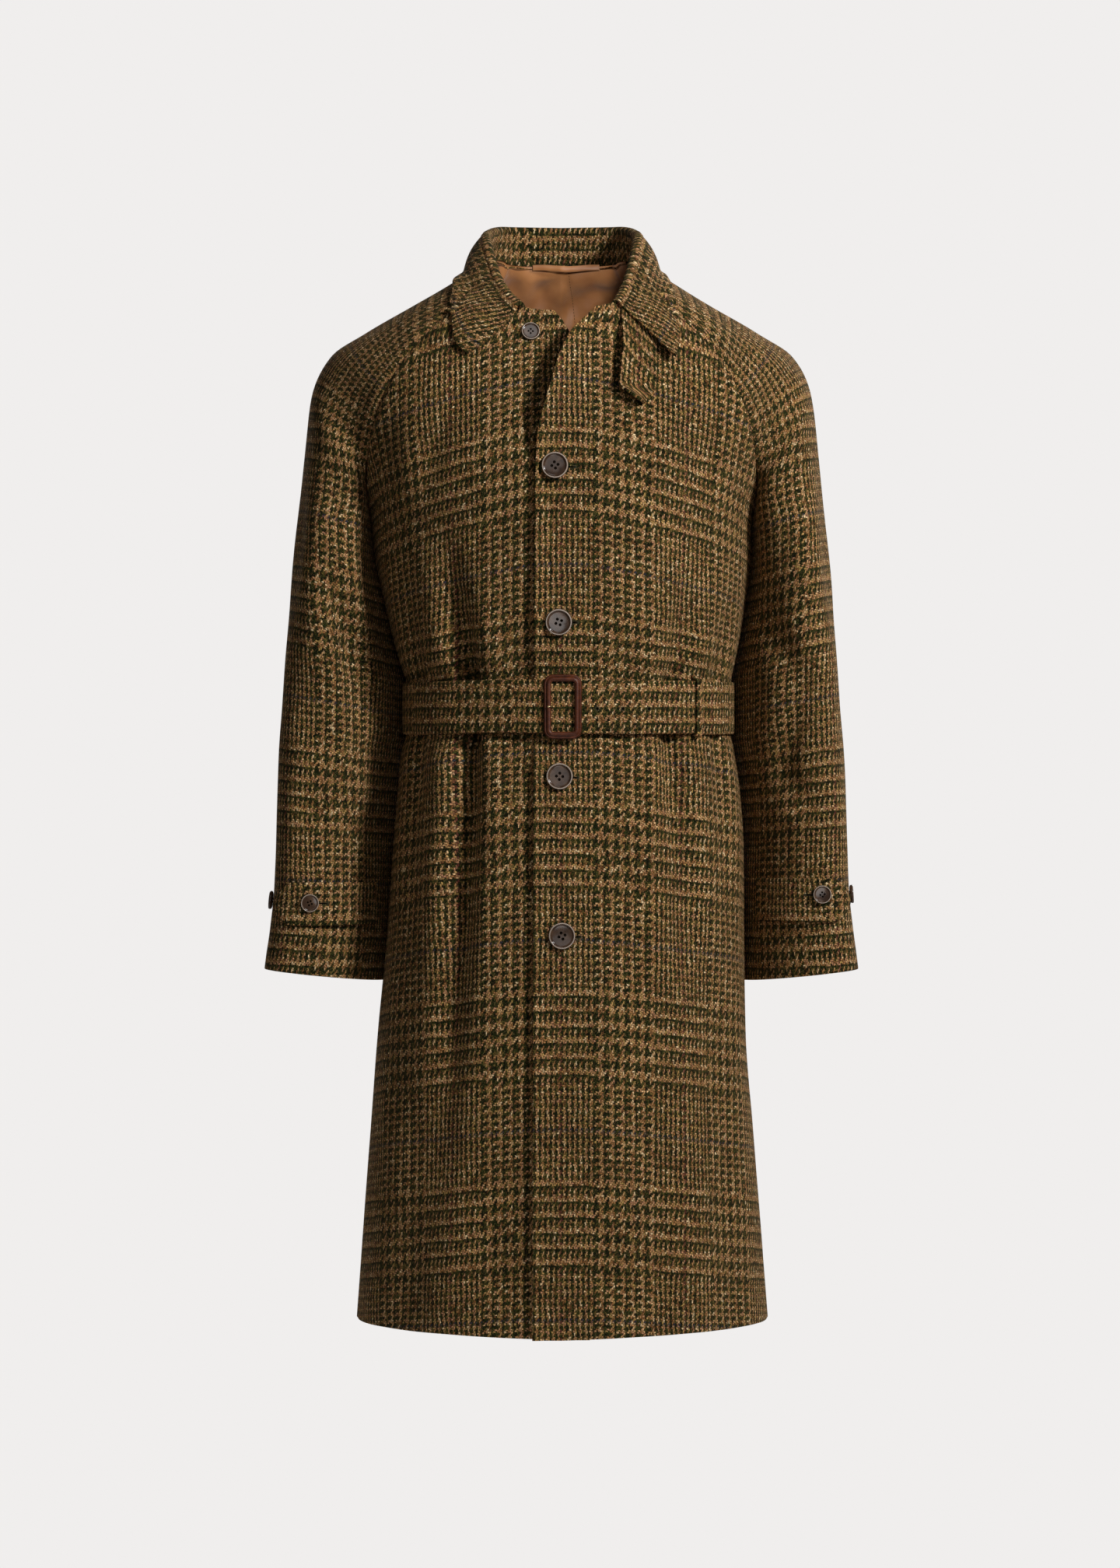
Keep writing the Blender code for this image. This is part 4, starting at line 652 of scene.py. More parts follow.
# The top of the shoulder over the raglan steps: x, y, z and the handles at the seam and at the top
SHOULDER = np.array([
    (0.00, 0.2745, 0.000, -0.222, 0.107, 0.107), (0.15, 0.2675, 0.002, -0.150, 0.055, 0.090),
    (0.30, 0.2590, 0.004, -0.085, 0.044, 0.076), (0.45, 0.2405, 0.006, -0.047, 0.040, 0.062),
    (0.60, 0.2035, 0.008, -0.0225, 0.042, 0.055), (0.75, 0.1500, 0.010, 0.008, 0.042, 0.050),
    (0.90, 0.1080, 0.010, 0.0335, 0.034, 0.042), (1.00, 0.0790, 0.008, 0.052, 0.027, 0.034),
])
# Rings below the underarm: outer x and z, inner x left and right, inner y and z, middle y, front and
# back depth, and how far the inner side turns behind the body
RINGS = np.array([
    (0, 0.2745, -0.2220, 0.1980, 0.1980, 0.000, -0.222, 0.000, 0.080, 0.080, 0.000),
    (1, 0.2795, -0.2755, 0.1985, 0.1945, 0.016, -0.276, -0.002, 0.080, 0.080, 0.010),
    (2, 0.2827, -0.3160, 0.1900, 0.1825, 0.030, -0.319, -0.004, 0.079, 0.079, 0.017),
    (3, 0.2863, -0.3565, 0.1815, 0.1715, 0.040, -0.361, -0.006, 0.077, 0.076, 0.021),
    (4, 0.2895, -0.4120, 0.1770, 0.1632, 0.044, -0.418, -0.009, 0.074, 0.072, 0.023),
    (5, 0.2928, -0.4600, 0.1790, 0.1660, 0.045, -0.468, -0.012, 0.071, 0.068, 0.023),
    (6, 0.2950, -0.5185, 0.1850, 0.1710, 0.044, -0.529, -0.015, 0.068, 0.064, 0.022),
    (7, 0.2965, -0.5590, 0.1880, 0.1745, 0.042, -0.571, -0.017, 0.065, 0.061, 0.020),
    (8, 0.2983, -0.6040, 0.1895, 0.1785, 0.039, -0.617, -0.019, 0.062, 0.058, 0.018),
    (9, 0.3017, -0.6370, 0.1900, 0.1820, 0.037, -0.651, -0.020, 0.060, 0.056, 0.016),
    (10, 0.3075, -0.6840, 0.1905, 0.1855, 0.035, -0.6975, -0.021, 0.058, 0.054, 0.014),
])
BULGE = 0.75
TUCKED = 0.0018
SLEEVE_HALF = 42
RING_ROWS = 86
JOINED_ROW = len(ROWS) - 1 - UNDERARM_ROW


def leaving(seam_panel, row, target):
    """The way a sleeve leaves its seam: on with the panel at the neck, turned under the arm."""
    across_seam = seam_panel[row, -1] - seam_panel[row, -2]
    upward = seam_panel[min(row + 1, len(ROWS) - 1), -1] - seam_panel[max(row - 1, UNDERARM_ROW), -1]
    face = unit(np.cross(across_seam, upward))
    chord = target - seam_panel[row, -1]
    onward = unit(chord - face * (chord @ face))
    forward = np.array([0.0, 1.0 if seam_panel[-1, -1][1] > 0 else -1.0, 0.0])
    tight = 1.0 - ease(0.0, 0.5, ROWS[row])
    return unit(onward * (1.0 - tight) + forward * tight)


def sleeve_arc(start, leave, top, crossing):
    line = bow(start, start + leave, top + crossing, top)
    lengths = lengths_of(line)
    return along(line, lengths, np.linspace(0.0, lengths[-1], SLEEVE_HALF + 1))


def sleeve_rows(side):
    """Rows of a sleeve from the neck to the cuff: open arcs down to the underarm, then closed rings."""
    rows = []
    for row in range(len(ROWS) - 1, UNDERARM_ROW, -1):
        x, y, z, seam_reach, top_reach = read(SHOULDER, ROWS[row])
        top = np.array([side * x, y, z])
        halves = []
        for seam_panel, sign in ((fronts[side], -1), (backs[side], 1)):
            leave = leaving(seam_panel, row, top) * seam_reach
            halves.append(sleeve_arc(seam_panel[row, -1], leave, top, np.array([0.0, sign * top_reach, 0.0])))
        rows.append(np.concatenate([halves[0], halves[1][-2::-1]]))
    for place in np.linspace(0.0, RINGS[-1, 0], RING_ROWS):
        ring = read(RINGS, place)
        outer_x, outer_z, inner_left, inner_right, inner_y, inner_z, middle, front, back, lean = ring
        beside = read(BODY, inner_z)[EDGE_OF[side]] - TUCKED * ease(0.006, 0.032, inner_y)
        inner = np.array([side * min(inner_left if side == LEFT else inner_right, beside), inner_y, inner_z])
        outer = np.array([side * outer_x, middle, outer_z])
        front, back = np.array([0.0, -front / BULGE, 0.0]), np.array([0.0, back / BULGE, 0.0])
        lean = np.array([side * lean, 0.0, 0.0])
        ahead = sleeve_arc(inner, front + lean, outer, front)
        behind = sleeve_arc(inner, back - lean, outer, back)
        rows.append(np.concatenate([ahead, behind[-2::-1]]))
    return np.array(rows)


def measured(form):
    """Lengths across the rows and down the columns of a sheet, from its first corner."""
    across = np.cumsum(np.linalg.norm(np.diff(form, axis=1), axis=2), axis=1)
    down = np.cumsum(np.linalg.norm(np.diff(form, axis=0), axis=2), axis=0)
    return np.pad(across, ((0, 0), (1, 0))), np.pad(down, ((1, 0), (0, 0)))


def sleeve_cut(grid):
    """Lengths from the sleeve's top line, to the front and to the back, and heights along the sleeve."""
    along_row, _ = measured(grid)
    across = along_row[:, SLEEVE_HALF:SLEEVE_HALF + 1] - along_row
    top = grid[:, SLEEVE_HALF]
    up = top[-1, 2] + lengths_of(top[::-1])[::-1]
    step = np.concatenate([ROWS[:UNDERARM_ROW:-1], np.zeros(RING_ROWS)])
    lean = 0.06 + 0.20 * ease(-0.60, -0.25, top[:, 2])
    drop = grid[..., 2] - top[:, 2:] + lean[:, None] * (np.abs(top[:, :1]) - np.abs(grid[..., 0]))
    heights = up[:, None] + (1.0 - ease(0.15, 0.70, step))[:, None] * drop
    return across, heights, np.repeat(up[:, None], grid.shape[1], axis=1)


# Creases over (length from the top line, height along the sleeve): the inner front of the elbow and
# the drag under the arm
SLEEVE_CREASES = {
    LEFT: [
        Crease([(0.135, -0.300), (0.095, -0.360), (0.060, -0.430)],
               0.0065, (0.012, 0.013), 0.35, 0.3, (0.4, 0.6)),
        Crease([(0.066, -0.370), (0.095, -0.440), (0.118, -0.515)],
               0.0075, (0.014, 0.016), 0.4, 0.4, (0.5, 0.5)),
        Crease([(0.120, -0.455), (0.080, -0.500), (0.040, -0.545)],
               0.0050, (0.011, 0.013), 0.35, 0.3, (0.4, 0.6)),
        Crease([(0.105, -0.120), (0.100, -0.190), (0.105, -0.290)],
               0.0060, (0.012, 0.016), 0.35, 0.3, (0.5, 0.5)),
        Crease([(0.050, -0.150), (0.040, -0.260), (0.030, -0.360)],
               0.0035, (0.016, 0.020), 0.35, 0.35, (0.5, 0.5)),
        Crease([(-0.140, -0.320), (-0.090, -0.390), (-0.050, -0.450)],
               0.0060, (0.012, 0.014), 0.35, 0.3, (0.4, 0.6)),
        Crease([(-0.130, -0.430), (-0.080, -0.480), (-0.040, -0.550)],
               0.0055, (0.012, 0.014), 0.35, 0.3, (0.4, 0.6)),
        Crease([(-0.105, -0.110), (-0.100, -0.190), (-0.110, -0.300)],
               0.0060, (0.013, 0.016), 0.35, 0.3, (0.5, 0.5)),
    ],
    RIGHT: [
        Crease([(0.045, -0.330), (0.066, -0.410), (0.078, -0.500)],
               0.0050, (0.016, 0.018), 0.35, 0.35, (0.5, 0.5)),
        Crease([(0.080, -0.230), (0.108, -0.330), (0.122, -0.400), (0.124, -0.470)],
               0.0100, (0.012, 0.014), 0.35, 0.55, (0.4, 0.5)),
        Crease([(0.118, -0.470), (0.080, -0.505), (0.045, -0.560)],
               0.0050, (0.011, 0.013), 0.3, 0.35, (0.4, 0.6)),
        Crease([(0.110, -0.110), (0.100, -0.190), (0.100, -0.300)],
               0.0070, (0.012, 0.016), 0.3, 0.35, (0.5, 0.5)),
        Crease([(0.055, -0.140), (0.045, -0.250), (0.040, -0.340)],
               0.0035, (0.016, 0.020), 0.35, 0.35, (0.5, 0.5)),
        Crease([(-0.140, -0.310), (-0.095, -0.380), (-0.050, -0.460)],
               0.0060, (0.012, 0.014), 0.3, 0.35, (0.4, 0.6)),
        Crease([(-0.130, -0.420), (-0.085, -0.490), (-0.045, -0.540)],
               0.0055, (0.012, 0.014), 0.3, 0.35, (0.4, 0.6)),
        Crease([(-0.110, -0.120), (-0.100, -0.190), (-0.105, -0.310)],
               0.0060, (0.013, 0.016), 0.3, 0.35, (0.5, 0.5)),
    ],
}
STRAP_HEIGHT = {LEFT: -0.6120, RIGHT: -0.6160}
FIRST_END = {LEFT: -0.0095, RIGHT: 0.0745}
SLEEVE_PICK, SLEEVE_GIVE = -0.3480, 0.0011
UNDER_STRAP, SEAM_FLAT = (0.026, 0.060), 0.024
sleeves, sleeve_facings = {}, {}
for side in (LEFT, RIGHT):
    form = sleeve_rows(side)
    facing = facing_of(form, np.repeat(form.mean(axis=1, keepdims=True), form.shape[1], axis=1))
    for row in range(JOINED_ROW, len(form)):
        facing[row, 0] = facing[row, -1] = unit(facing[row, 0] + facing[row, -1])
    across, heights, up = sleeve_cut(form)
    push = pressed(across, up, SLEEVE_CREASES[side]) + slack(across, up, SLEEVE_GIVE, 6 + side)
    push = softened(push, FOLD_ROUNDS)
    from_seam = np.minimum(np.abs(across[:, :1] - across), np.abs(across - across[:, -1:]))
    push *= ease(*UNDER_STRAP, np.abs(form[..., 2] - STRAP_HEIGHT[side])) * ease(0.0, SEAM_FLAT, from_seam)
    below = 0.5 * ease(0.0, 0.030, UNDERARM - form[JOINED_ROW:, :1, 2])
    push += seam_dip(from_seam) * np.concatenate([SEWN_DOWN[:UNDERARM_ROW:-1], below])
    push[JOINED_ROW:, 0] = push[JOINED_ROW:, -1] = (push[JOINED_ROW:, 0] + push[JOINED_ROW:, -1]) / 2
    sewn_in(form, slice(0, JOINED_ROW), 0, 1)
    sewn_in(form, slice(0, JOINED_ROW), -1, -2)
    form[JOINED_ROW, (0, -1), 0] -= side * SEWN_IN
    sleeves[side] = form + facing * push[..., None]
    sleeve_facings[side] = facing
    cut = on_check(-side * across, heights, FIRST_END[side], SLEEVE_PICK)
    made = make_sheet("tweed_sleeve_" + NAMES[side], sleeves[side], facing, cut, CLOTH, [tweed, lining],
                      joined_row=JOINED_ROW)
    hand_over(made, "sleeve_" + NAMES[side])


# The throat tab: a double strip of tweed sewn under the left collar leaf. It hangs unbuttoned, its free
# side curling off the front, and ends in a slanted point.
STRAP_WALL, STRAP_REST = 0.0030, 0.0008
FORWARD = Vector((0.0, 1.0, 0.0))
# Row from the collar down: inner and outer edge, height of the inner edge and drop to the outer one
THROAT_TAB = np.array([
    (0, 0.0605, 0.0960, -0.0090, 0.030), (1, 0.0600, 0.0962, -0.0220, 0.024),
    (2, 0.0595, 0.0964, -0.0360, 0.017), (3, 0.0590, 0.0965, -0.0530, 0.010),
    (4, 0.0574, 0.0955, -0.0890, 0.000), (5, 0.0680, 0.0890, -0.1000, 0.000),
    (6, 0.0790, 0.0835, -0.1080, 0.000),
])
TAB_ROWS, TAB_COLUMNS = 61, 13
TAB_CURL, TAB_LIFT = 0.0085, 0.0022


def tree_of(*sheets):
    """A search tree over the outer faces of sheets, each a form with its facing."""
    points, faces = [], []
    for form, facing in sheets:
        rows, columns = form.shape[:2]
        index = np.arange(rows * columns).reshape(rows, columns) + len(points)
        corners = [index[:-1, :-1], index[:-1, 1:], index[1:, 1:], index[1:, :-1]]
        quads = np.stack(corners, axis=-1).reshape(-1, 4)
        row, column = rows // 2, columns // 2
        spot = form[row, column]
        normal = np.cross(form[row, column + 1] - spot, form[row + 1, column] - spot)
        turned = normal @ facing[row, column] < 0
        points.extend(map(Vector, form.reshape(-1, 3)))
        faces.extend((quads[:, ::-1] if turned else quads).tolist())
    return BVHTree.FromPolygons(points, faces)


def kept_clear(form, tree, clearance, rounds=4):
    """Moves a sheet out until it clears what lies under it."""
    for _ in range(rounds):
        push = np.zeros_like(form)
        for spot in np.ndindex(form.shape[:2]):
            found, normal, _, _ = tree.find_nearest(Vector(form[spot]))
            need = clearance - (Vector(form[spot]) - found).dot(normal)
            push[spot] = np.array(normal) * max(need, 0.0)
        eased = softened(push, 1)
        form = form + np.maximum(eased, push) * (push > 0) + np.minimum(eased, push) * (push < 0)
    return form


coat = [(right_form, right_facing), (left_form, left_facing)]
coat += [(sleeves[side], sleeve_facings[side]) for side in (LEFT, RIGHT)]
coat += [(back_forms[side], back_facings[side]) for side in (LEFT, RIGHT)]
coat_tree = tree_of(*coat)
tab_form = np.zeros((TAB_ROWS, TAB_COLUMNS, 3))
for row, place in enumerate(np.linspace(0.0, THROAT_TAB[-1, 0], TAB_ROWS)):
    inner, outer, height, drop = read(THROAT_TAB, place)
    for column, share in enumerate(np.linspace(0.0, 1.0, TAB_COLUMNS)):
        spot = Vector((inner + (outer - inner) * share, -1.0, height - drop * share))
        found, normal, _, _ = coat_tree.ray_cast(spot, FORWARD)
        curl = TAB_CURL * (1.0 - share) ** 2 * ease(0.4, 3.0, place) + TAB_LIFT * ease(3.5, 6.0, place)
        tab_form[row, column] = found + normal * (STRAP_REST + curl)
tab_form = kept_clear(tab_form, coat_tree, STRAP_REST)
tab_facing = facing_of(tab_form, body_middle(tab_form))
across, down = measured(tab_form)
tab_cut = on_check(across, 0.05 - down, REPEAT * WARP * 0.42, 0.0)
throat_tab = make_sheet("tweed_throat_tab", tab_form, tab_facing, tab_cut, STRAP_WALL, [tweed], offset=1.0)
hand_over(throat_tab, "throat_tab")


# The collar: stand and leaf of doubled tweed, sewn on to the neck edge. The stand rises at the back and
# turns over into the leaf, which lies on the shoulders and hides the upper end of the throat tab.
COLLAR_WALL, REST, COLLAR_PICK = 0.0036, 0.0005, -0.012
# Share from the middle of the back to the front end: the top of the stand and the free edge of the leaf
LEAF_BEHIND = [
    (0.00, 0.0000, 0.0835, 0.0905, 0.0000, 0.115, 0.0240),
    (0.24, 0.0575, 0.0690, 0.0900, 0.0740, 0.101, 0.0230),
]
LEAF = {
    LEFT: np.array(LEAF_BEHIND + [
        (0.50, 0.0775, 0.0080, 0.0765, 0.0975, 0.016, 0.0320),
        (0.76, 0.0690, -0.0610, 0.0330, 0.1110, -0.080, -0.0220),
        (0.90, 0.0610, -0.0890, 0.0100, 0.1150, -0.106, -0.0510),
        (1.00, 0.0530, -0.1055, -0.0050, 0.1135, -0.118, -0.0650),
    ]),
    RIGHT: np.array(LEAF_BEHIND + [
        (0.50, 0.0765, 0.0080, 0.0765, 0.0975, 0.016, 0.0320),
        (0.76, 0.0660, -0.0610, 0.0310, 0.1070, -0.080, -0.0210),
        (0.90, 0.0540, -0.0905, 0.0080, 0.1045, -0.106, -0.0490),
        (1.00, 0.0400, -0.1075, -0.0070, 0.0955, -0.116, -0.0590),
    ]),
}
COLLAR_END = {LEFT: 0.0545, RIGHT: 0.0415}
FOLD_RADIUS = 0.0026
CROWN = 0.0047
LEAF_LIFT = {LEFT: 0.0085, RIGHT: 0.0020}
LEAF_SWELL = {LEFT: 0.0, RIGHT: 0.0035}
LEAF_GRAIN = {LEFT: 0.38, RIGHT: 0.65}
COLLAR_PLACES = 92
# A half's places in the order of the whole: the right half backwards, without the shared middle
WHOLE_ORDER = {LEFT: slice(None), RIGHT: slice(None, 0, -1)}
STAND_POINTS, FOLD_POINTS, LEAF_POINTS = 7, 6, 16


def neck_line(side):
    """The neck edge of one half, from the middle of the back to the collar's front end."""
    across_front = fronts[side][-1, ::-1]
    keep = across_front[:, 0] * side > COLLAR_END[side]
    line = np.concatenate([backs[side][-1], sleeves[side][0, ::-1][1:], across_front[keep][1:]])
    lengths = lengths_of(line)
    return along(line, lengths, np.linspace(0.0, lengths[-1], COLLAR_PLACES))


def collar_section(side, share, seam, fold, edge):
    """The under side of the collar at one place: up the stand, over the fold and down the leaf."""
    at_front = ease(0.84, 1.0, share)
    swell = LEAF_SWELL[side] * at_front * np.array([-side, 0.0, -1.0])
    out = unit((edge - fold) * (1, 1, 0))
    up = np.array([0.0, 0.0, 1.0])
    points = [seam + (fold - seam) * rise for rise in np.linspace(0.0, 1.0, STAND_POINTS)]
    for turn in np.linspace(0.0, math.pi, FOLD_POINTS + 1)[1:]:
        points.append(fold + FOLD_RADIUS * (out * (1 - math.cos(turn)) + up * math.sin(turn)))
    turned = points[-1]
    for down in np.linspace(0.0, 1.0, LEAF_POINTS + 1)[1:]:
        crown = (out + up) * CROWN * (1.0 - 0.2 * down) * (1.0 - at_front)
        points.append(turned + (edge - turned) * down + (crown + swell) * math.sin(math.pi * down))
    return points


collar_form, collar_along, collar_lift, collar_slant = [], [], [], []
for side in (RIGHT, LEFT):
    line = neck_line(side)
    lengths = lengths_of(line)
    shares = lengths / lengths[-1]
    half = []
    for seam, share in zip(line, shares):
        spots = read(LEAF[side], share) * (side, 1, 1, side, 1, 1)
        half.append(collar_section(side, share, seam + (0, 0, 2 * REST), spots[:3], spots[3:]))
    order = WHOLE_ORDER[side]
    collar_form += half[order]
    collar_along += list(side * lengths[order])
    collar_lift += list(LEAF_LIFT[side] * ease(0.80, 1.0, shares[order]))
    collar_slant += list(side * LEAF_GRAIN[side] * ease(0.25, 0.70, shares[order]))
collar_form = np.array(collar_form)
first_leaf = STAND_POINTS + FOLD_POINTS - 1
tab_top = (tab_form + tab_facing * STRAP_WALL, tab_facing)
collar_form[:, first_leaf:] = kept_clear(collar_form[:, first_leaf:], tree_of(*coat, tab_top), REST)
collar_facing = facing_of(collar_form, np.zeros(3))
collar_facing *= 1.0 if collar_facing[len(collar_form) // 2, -1, 1] > 0 else -1.0
leaf_share = np.linspace(0.0, 1.0, collar_form.shape[1] - first_leaf)
collar_form[:, first_leaf:] += collar_facing[:, first_leaf:] * np.outer(collar_lift, leaf_share)[..., None]
across, _ = measured(collar_form)
fold_column = STAND_POINTS + FOLD_POINTS // 2
fold_at = across[:, fold_column:fold_column + 1]
slanted = np.array(collar_slant)[:, None] * np.maximum(across - fold_at, 0.0)
leaf_along = np.array(collar_along)[:, None] + slanted
collar_cut = on_check(-leaf_along, fold_at - across, BACK_FIRST_END, COLLAR_PICK)
collar = make_sheet("tweed_collar", collar_form, collar_facing, collar_cut, COLLAR_WALL, [tweed], offset=1.0)
hand_over(collar, "collar")


# The lining of the upper back: copper twill with a stitched seam down the middle, felled to the neck
# under the collar. It shows inside the neck and puckers a little.
LINING_WALL = 0.0010
LINING_STEP, SLEEVE_REACH = 0.20, 14
LINING_SEAM, STITCH_STEP = 0.0074, 0.0034
LINING_STITCH, STITCHED = (0.0026, 0.0006), (0.080, 0.004)
PLEAT, PLEAT_AWAY, PLEAT_REACH = 0.0010, 0.004, 0.0035
DEEP_PUCKER, FINE_PUCKER = 0.0020, 0.0010
TOP_TUCK, TOP_RISE = 0.0010, 0.0045


def finished(name, shape, stuff, smooth_angle=40):
    """Turns a shape into an object with one material, smooth but for its sharp edges."""
    mesh = bpy.data.meshes.new(name)
    shape.to_mesh(mesh)
    shape.free()
    mesh.shade_smooth()
    mesh.set_sharp_from_angle(angle=math.radians(smooth_angle))
    mesh.materials.append(stuff)
    made = bpy.data.objects.new(name, mesh)
    bpy.context.scene.collection.objects.link(made)
    return made


def mottled_material(name, roughness, shine, size, *pairs, **noise):
    """A material in colours that follow a noise of one size, with its shader and its colours."""
    stuff, shader = new_material(name, roughness, shine)
    place = add(stuff, "TexCoord").outputs["Object"]
    mottle = add(stuff, "TexNoise", {"Vector": place, "Scale": 1 / size, "Detail": 2.0, **noise})
    colours = add(stuff, "ValToRGB", {0: mottle})
    stops(colours, *pairs)
    set_inputs(stuff, shader, {"Base Color": colours})
    return stuff, shader, colours


# Waxed thread: dark brown, mottled by its twist, with a dull shine. It is drawn nearly black, partly as
# painted shade, so that the knots in the button holes read as the dark inside of the holes.
thread, _, _ = mottled_material("dark_waxed_thread_and_hole_shade", 0.8, 0.12, 0.0006, (0.3, "#100B07"), (0.7, "#281C12"))


def add_stitch(shape, middle, way, facing, length, width):
    """Adds one stitch: a small rounded bar lying along a way on a face."""
    side = facing.cross(way).normalized()
    turn = Matrix((way, side, facing)).transposed().to_4x4()
    size = Matrix.Diagonal((length / 2, width / 2, width / 2, 1.0))
    bmesh.ops.create_uvsphere(shape, u_segments=8, v_segments=6, radius=1.0,
                              matrix=Matrix.Translation(middle) @ turn @ size)


lowest = int(np.searchsorted(ROWS, LINING_STEP))
on_sleeve_part = (slice(len(ROWS) - 1 - lowest, None, -1), slice(-2, -2 - SLEEVE_REACH, -1))
halves, half_facings = [], []
for side in (RIGHT, LEFT):
    order = WHOLE_ORDER[side]
    outside = np.concatenate([back_forms[side][lowest:], sleeves[side][on_sleeve_part]], axis=1)
    facing = np.concatenate([back_facings[side][lowest:], sleeve_facings[side][on_sleeve_part]], axis=1)
    halves.append((outside - facing * (CLOTH + REST))[:, order])
    half_facings.append(facing[:, order])
lining_form = np.concatenate(halves, axis=1)
lining_facing = np.concatenate(half_facings, axis=1)
across, _ = measured(lining_form)
centre_column = halves[0].shape[1]
across -= across[:, centre_column:centre_column + 1]
heights = np.repeat(back_heights[lowest:], across.shape[1], axis=1)
push = -PLEAT * np.exp(-(((across - LINING_SEAM - PLEAT_AWAY) / PLEAT_REACH) ** 2))
push -= DEEP_PUCKER * (1.0 + np.sin(across * 90 - heights * 150 + 2.5 * np.sin(heights * 24 + across * 31)))
push -= FINE_PUCKER * (1.0 + np.sin(across * 210 + heights * 60))
lining_form += lining_facing * push[..., None] * ease(0.0, 0.008, heights[-1, 0] - heights)[..., None]
lining_form[-1] += lining_facing[-1] * TOP_TUCK + (0.0, 0.0, TOP_RISE)
lining_cut = np.stack([across + 1.0, heights + 1.0], axis=-1)
back_lining = make_sheet("copper_lining_back", lining_form, lining_facing, lining_cut, LINING_WALL, [lining])
hand_over(back_lining, "lining_back")

shape = bmesh.new()
seam_column = int(np.abs(across[-1] - LINING_SEAM).argmin())
seam_line = lining_form[:, seam_column] - lining_facing[:, seam_column] * LINING_WALL
seam_lengths = lengths_of(seam_line)
seam_facing = Vector(-lining_facing[-10, seam_column])
for place in np.arange(seam_lengths[-1] - STITCHED[0], seam_lengths[-1] - STITCHED[1], STITCH_STEP):
    spots = along(seam_line, seam_lengths, place + np.array([-0.5, 0.0, 0.5]) * NEARBY)
    before, middle, after = (Vector(spot) for spot in spots)
    add_stitch(shape, middle, (after - before).normalized(), seam_facing, *LINING_STITCH)
lining_stitches = finished("thread_lining_stitches", shape, thread)
hand_over(lining_stitches)


# The hanger loop: a narrow folded strip of the lining, sewn down at both ends across the back of the
# neck and sagging forward between them.
LOOP_ENDS = (-0.0304, 0.0403)
LOOP_WIDTH, LOOP_WALL, LOOP_REST = 0.0056, 0.0012, 0.0002
LOOP_TOP, LOOP_SAG = 0.0560, 0.0072
LOOP_DIP, LOOP_WAVE, LOOP_BELLY = 0.0015, 0.0006, 0.0012
LOOP_COLUMNS, LOOP_ROWS = 49, 7
loop_form = np.zeros((LOOP_ROWS, LOOP_COLUMNS, 3))
neck_row = lining_form[-1]
for column, share in enumerate(np.linspace(0.0, 1.0, LOOP_COLUMNS)):
    x = LOOP_ENDS[0] + (LOOP_ENDS[1] - LOOP_ENDS[0]) * share
    sag = math.sin(math.pi * share)
    stand_off = LINING_WALL + COLLAR_WALL - CLOTH + LOOP_REST + LOOP_SAG * sag
    y = np.interp(x, neck_row[:, 0], neck_row[:, 1]) - stand_off
    top = LOOP_TOP - LOOP_DIP * sag + LOOP_WAVE * math.sin(9 * share)
    for row, drop in enumerate(np.linspace(0.0, 1.0, LOOP_ROWS)):
        belly = LOOP_BELLY * math.sin(math.pi * drop) * (0.35 + 0.65 * sag)
        loop_form[row, column] = (x, y - belly, top - LOOP_WIDTH * drop)
loop_facing = np.zeros_like(loop_form) + (0.0, 1.0, 0.0)
across, down = measured(loop_form)
loop_cut = np.stack([across + 1.0, down + 1.0], axis=-1)
hanger_loop = make_sheet("copper_hanger_loop", loop_form, loop_facing, loop_cut, LOOP_WALL, [lining])
hand_over(hanger_loop, "hanger_loop")


# The belt: a stiffened strip of doubled tweed, cut across the cloth. It goes from the buckle's bar round
# the waist, through the buckle over its own start and on to the tail, with three sewn eyelets.
BELT_WALL, BELT_REST = 0.0032, 0.0009
BELT_START, BELT_TAIL = 0.0085, 0.1500
BELT_RISE = (-0.115, -0.004)
BELT_PLACES, BELT_ROWS = 280, 13
BELT_SWAY, BELT_RIPPLE, BELT_ROUNDED = 0.0006, 0.0004, 0.0006
BELT_FIRST_END, BELT_PICK = 0.022, BELT_HEIGHT - 0.037
LAP_STEP, TAIL_REACH = (0.012, 0.002), 0.2


def lap_under(place):
    """How far the lapped fronts lift what passes over them, at a place left of the centre front."""
    edge = read(FRONT_EDGE, BELT_HEIGHT)[0]
    step_up = ease(edge - LAP_STEP[0], edge - LAP_STEP[1], place)
    return LAP * step_up * (1.0 - ease(*LAP_FADE, place))


def tail_stand_off(place):
    """The tail's stand-off from the body as it climbs on to the belt's own start."""
    climbed = ease(*BELT_RISE, place)
    on_start = LAP * (1.0 - ease(*LAP_FADE, place)) + BELT_WALL + REST
    return BELT_REST + lap_under(place) * (1 - climbed) + climbed * on_start


quarters = {(face, side): half_row(face, side, BELT_HEIGHT - UNDERARM)
            for face in ("front", "back") for side in (LEFT, RIGHT)}
waist = np.concatenate([
    quarters["front", LEFT], quarters["back", LEFT][-2::-1], quarters["back", RIGHT][1:],
    quarters["front", RIGHT][-2::-1], quarters["front", LEFT][1:],
])
waist_lengths = lengths_of(waist)
turn_length = waist_lengths[-1] - lengths_of(quarters["front", LEFT])[-1]
places = np.linspace(BELT_START, turn_length + BELT_TAIL, BELT_PLACES)
ahead = along(waist, waist_lengths, places + NEARBY)
ahead -= along(waist, waist_lengths, np.maximum(places - NEARBY, 0.0))
belt_out = unit(np.stack([ahead[:, 1], -ahead[:, 0], 0 * places], axis=1))
belt_out *= 1.0 if belt_out[0, 1] < 0 else -1.0
on_tail = places > turn_length - TAIL_REACH
stand_off = np.where(on_tail, [tail_stand_off(place - turn_length) for place in places],
                     [BELT_REST + lap_under(place) for place in places])
outer_line = along(waist, waist_lengths, places) + belt_out * (stand_off + BELT_WALL)[:, None]
shares = np.linspace(-1.0, 1.0, BELT_ROWS)
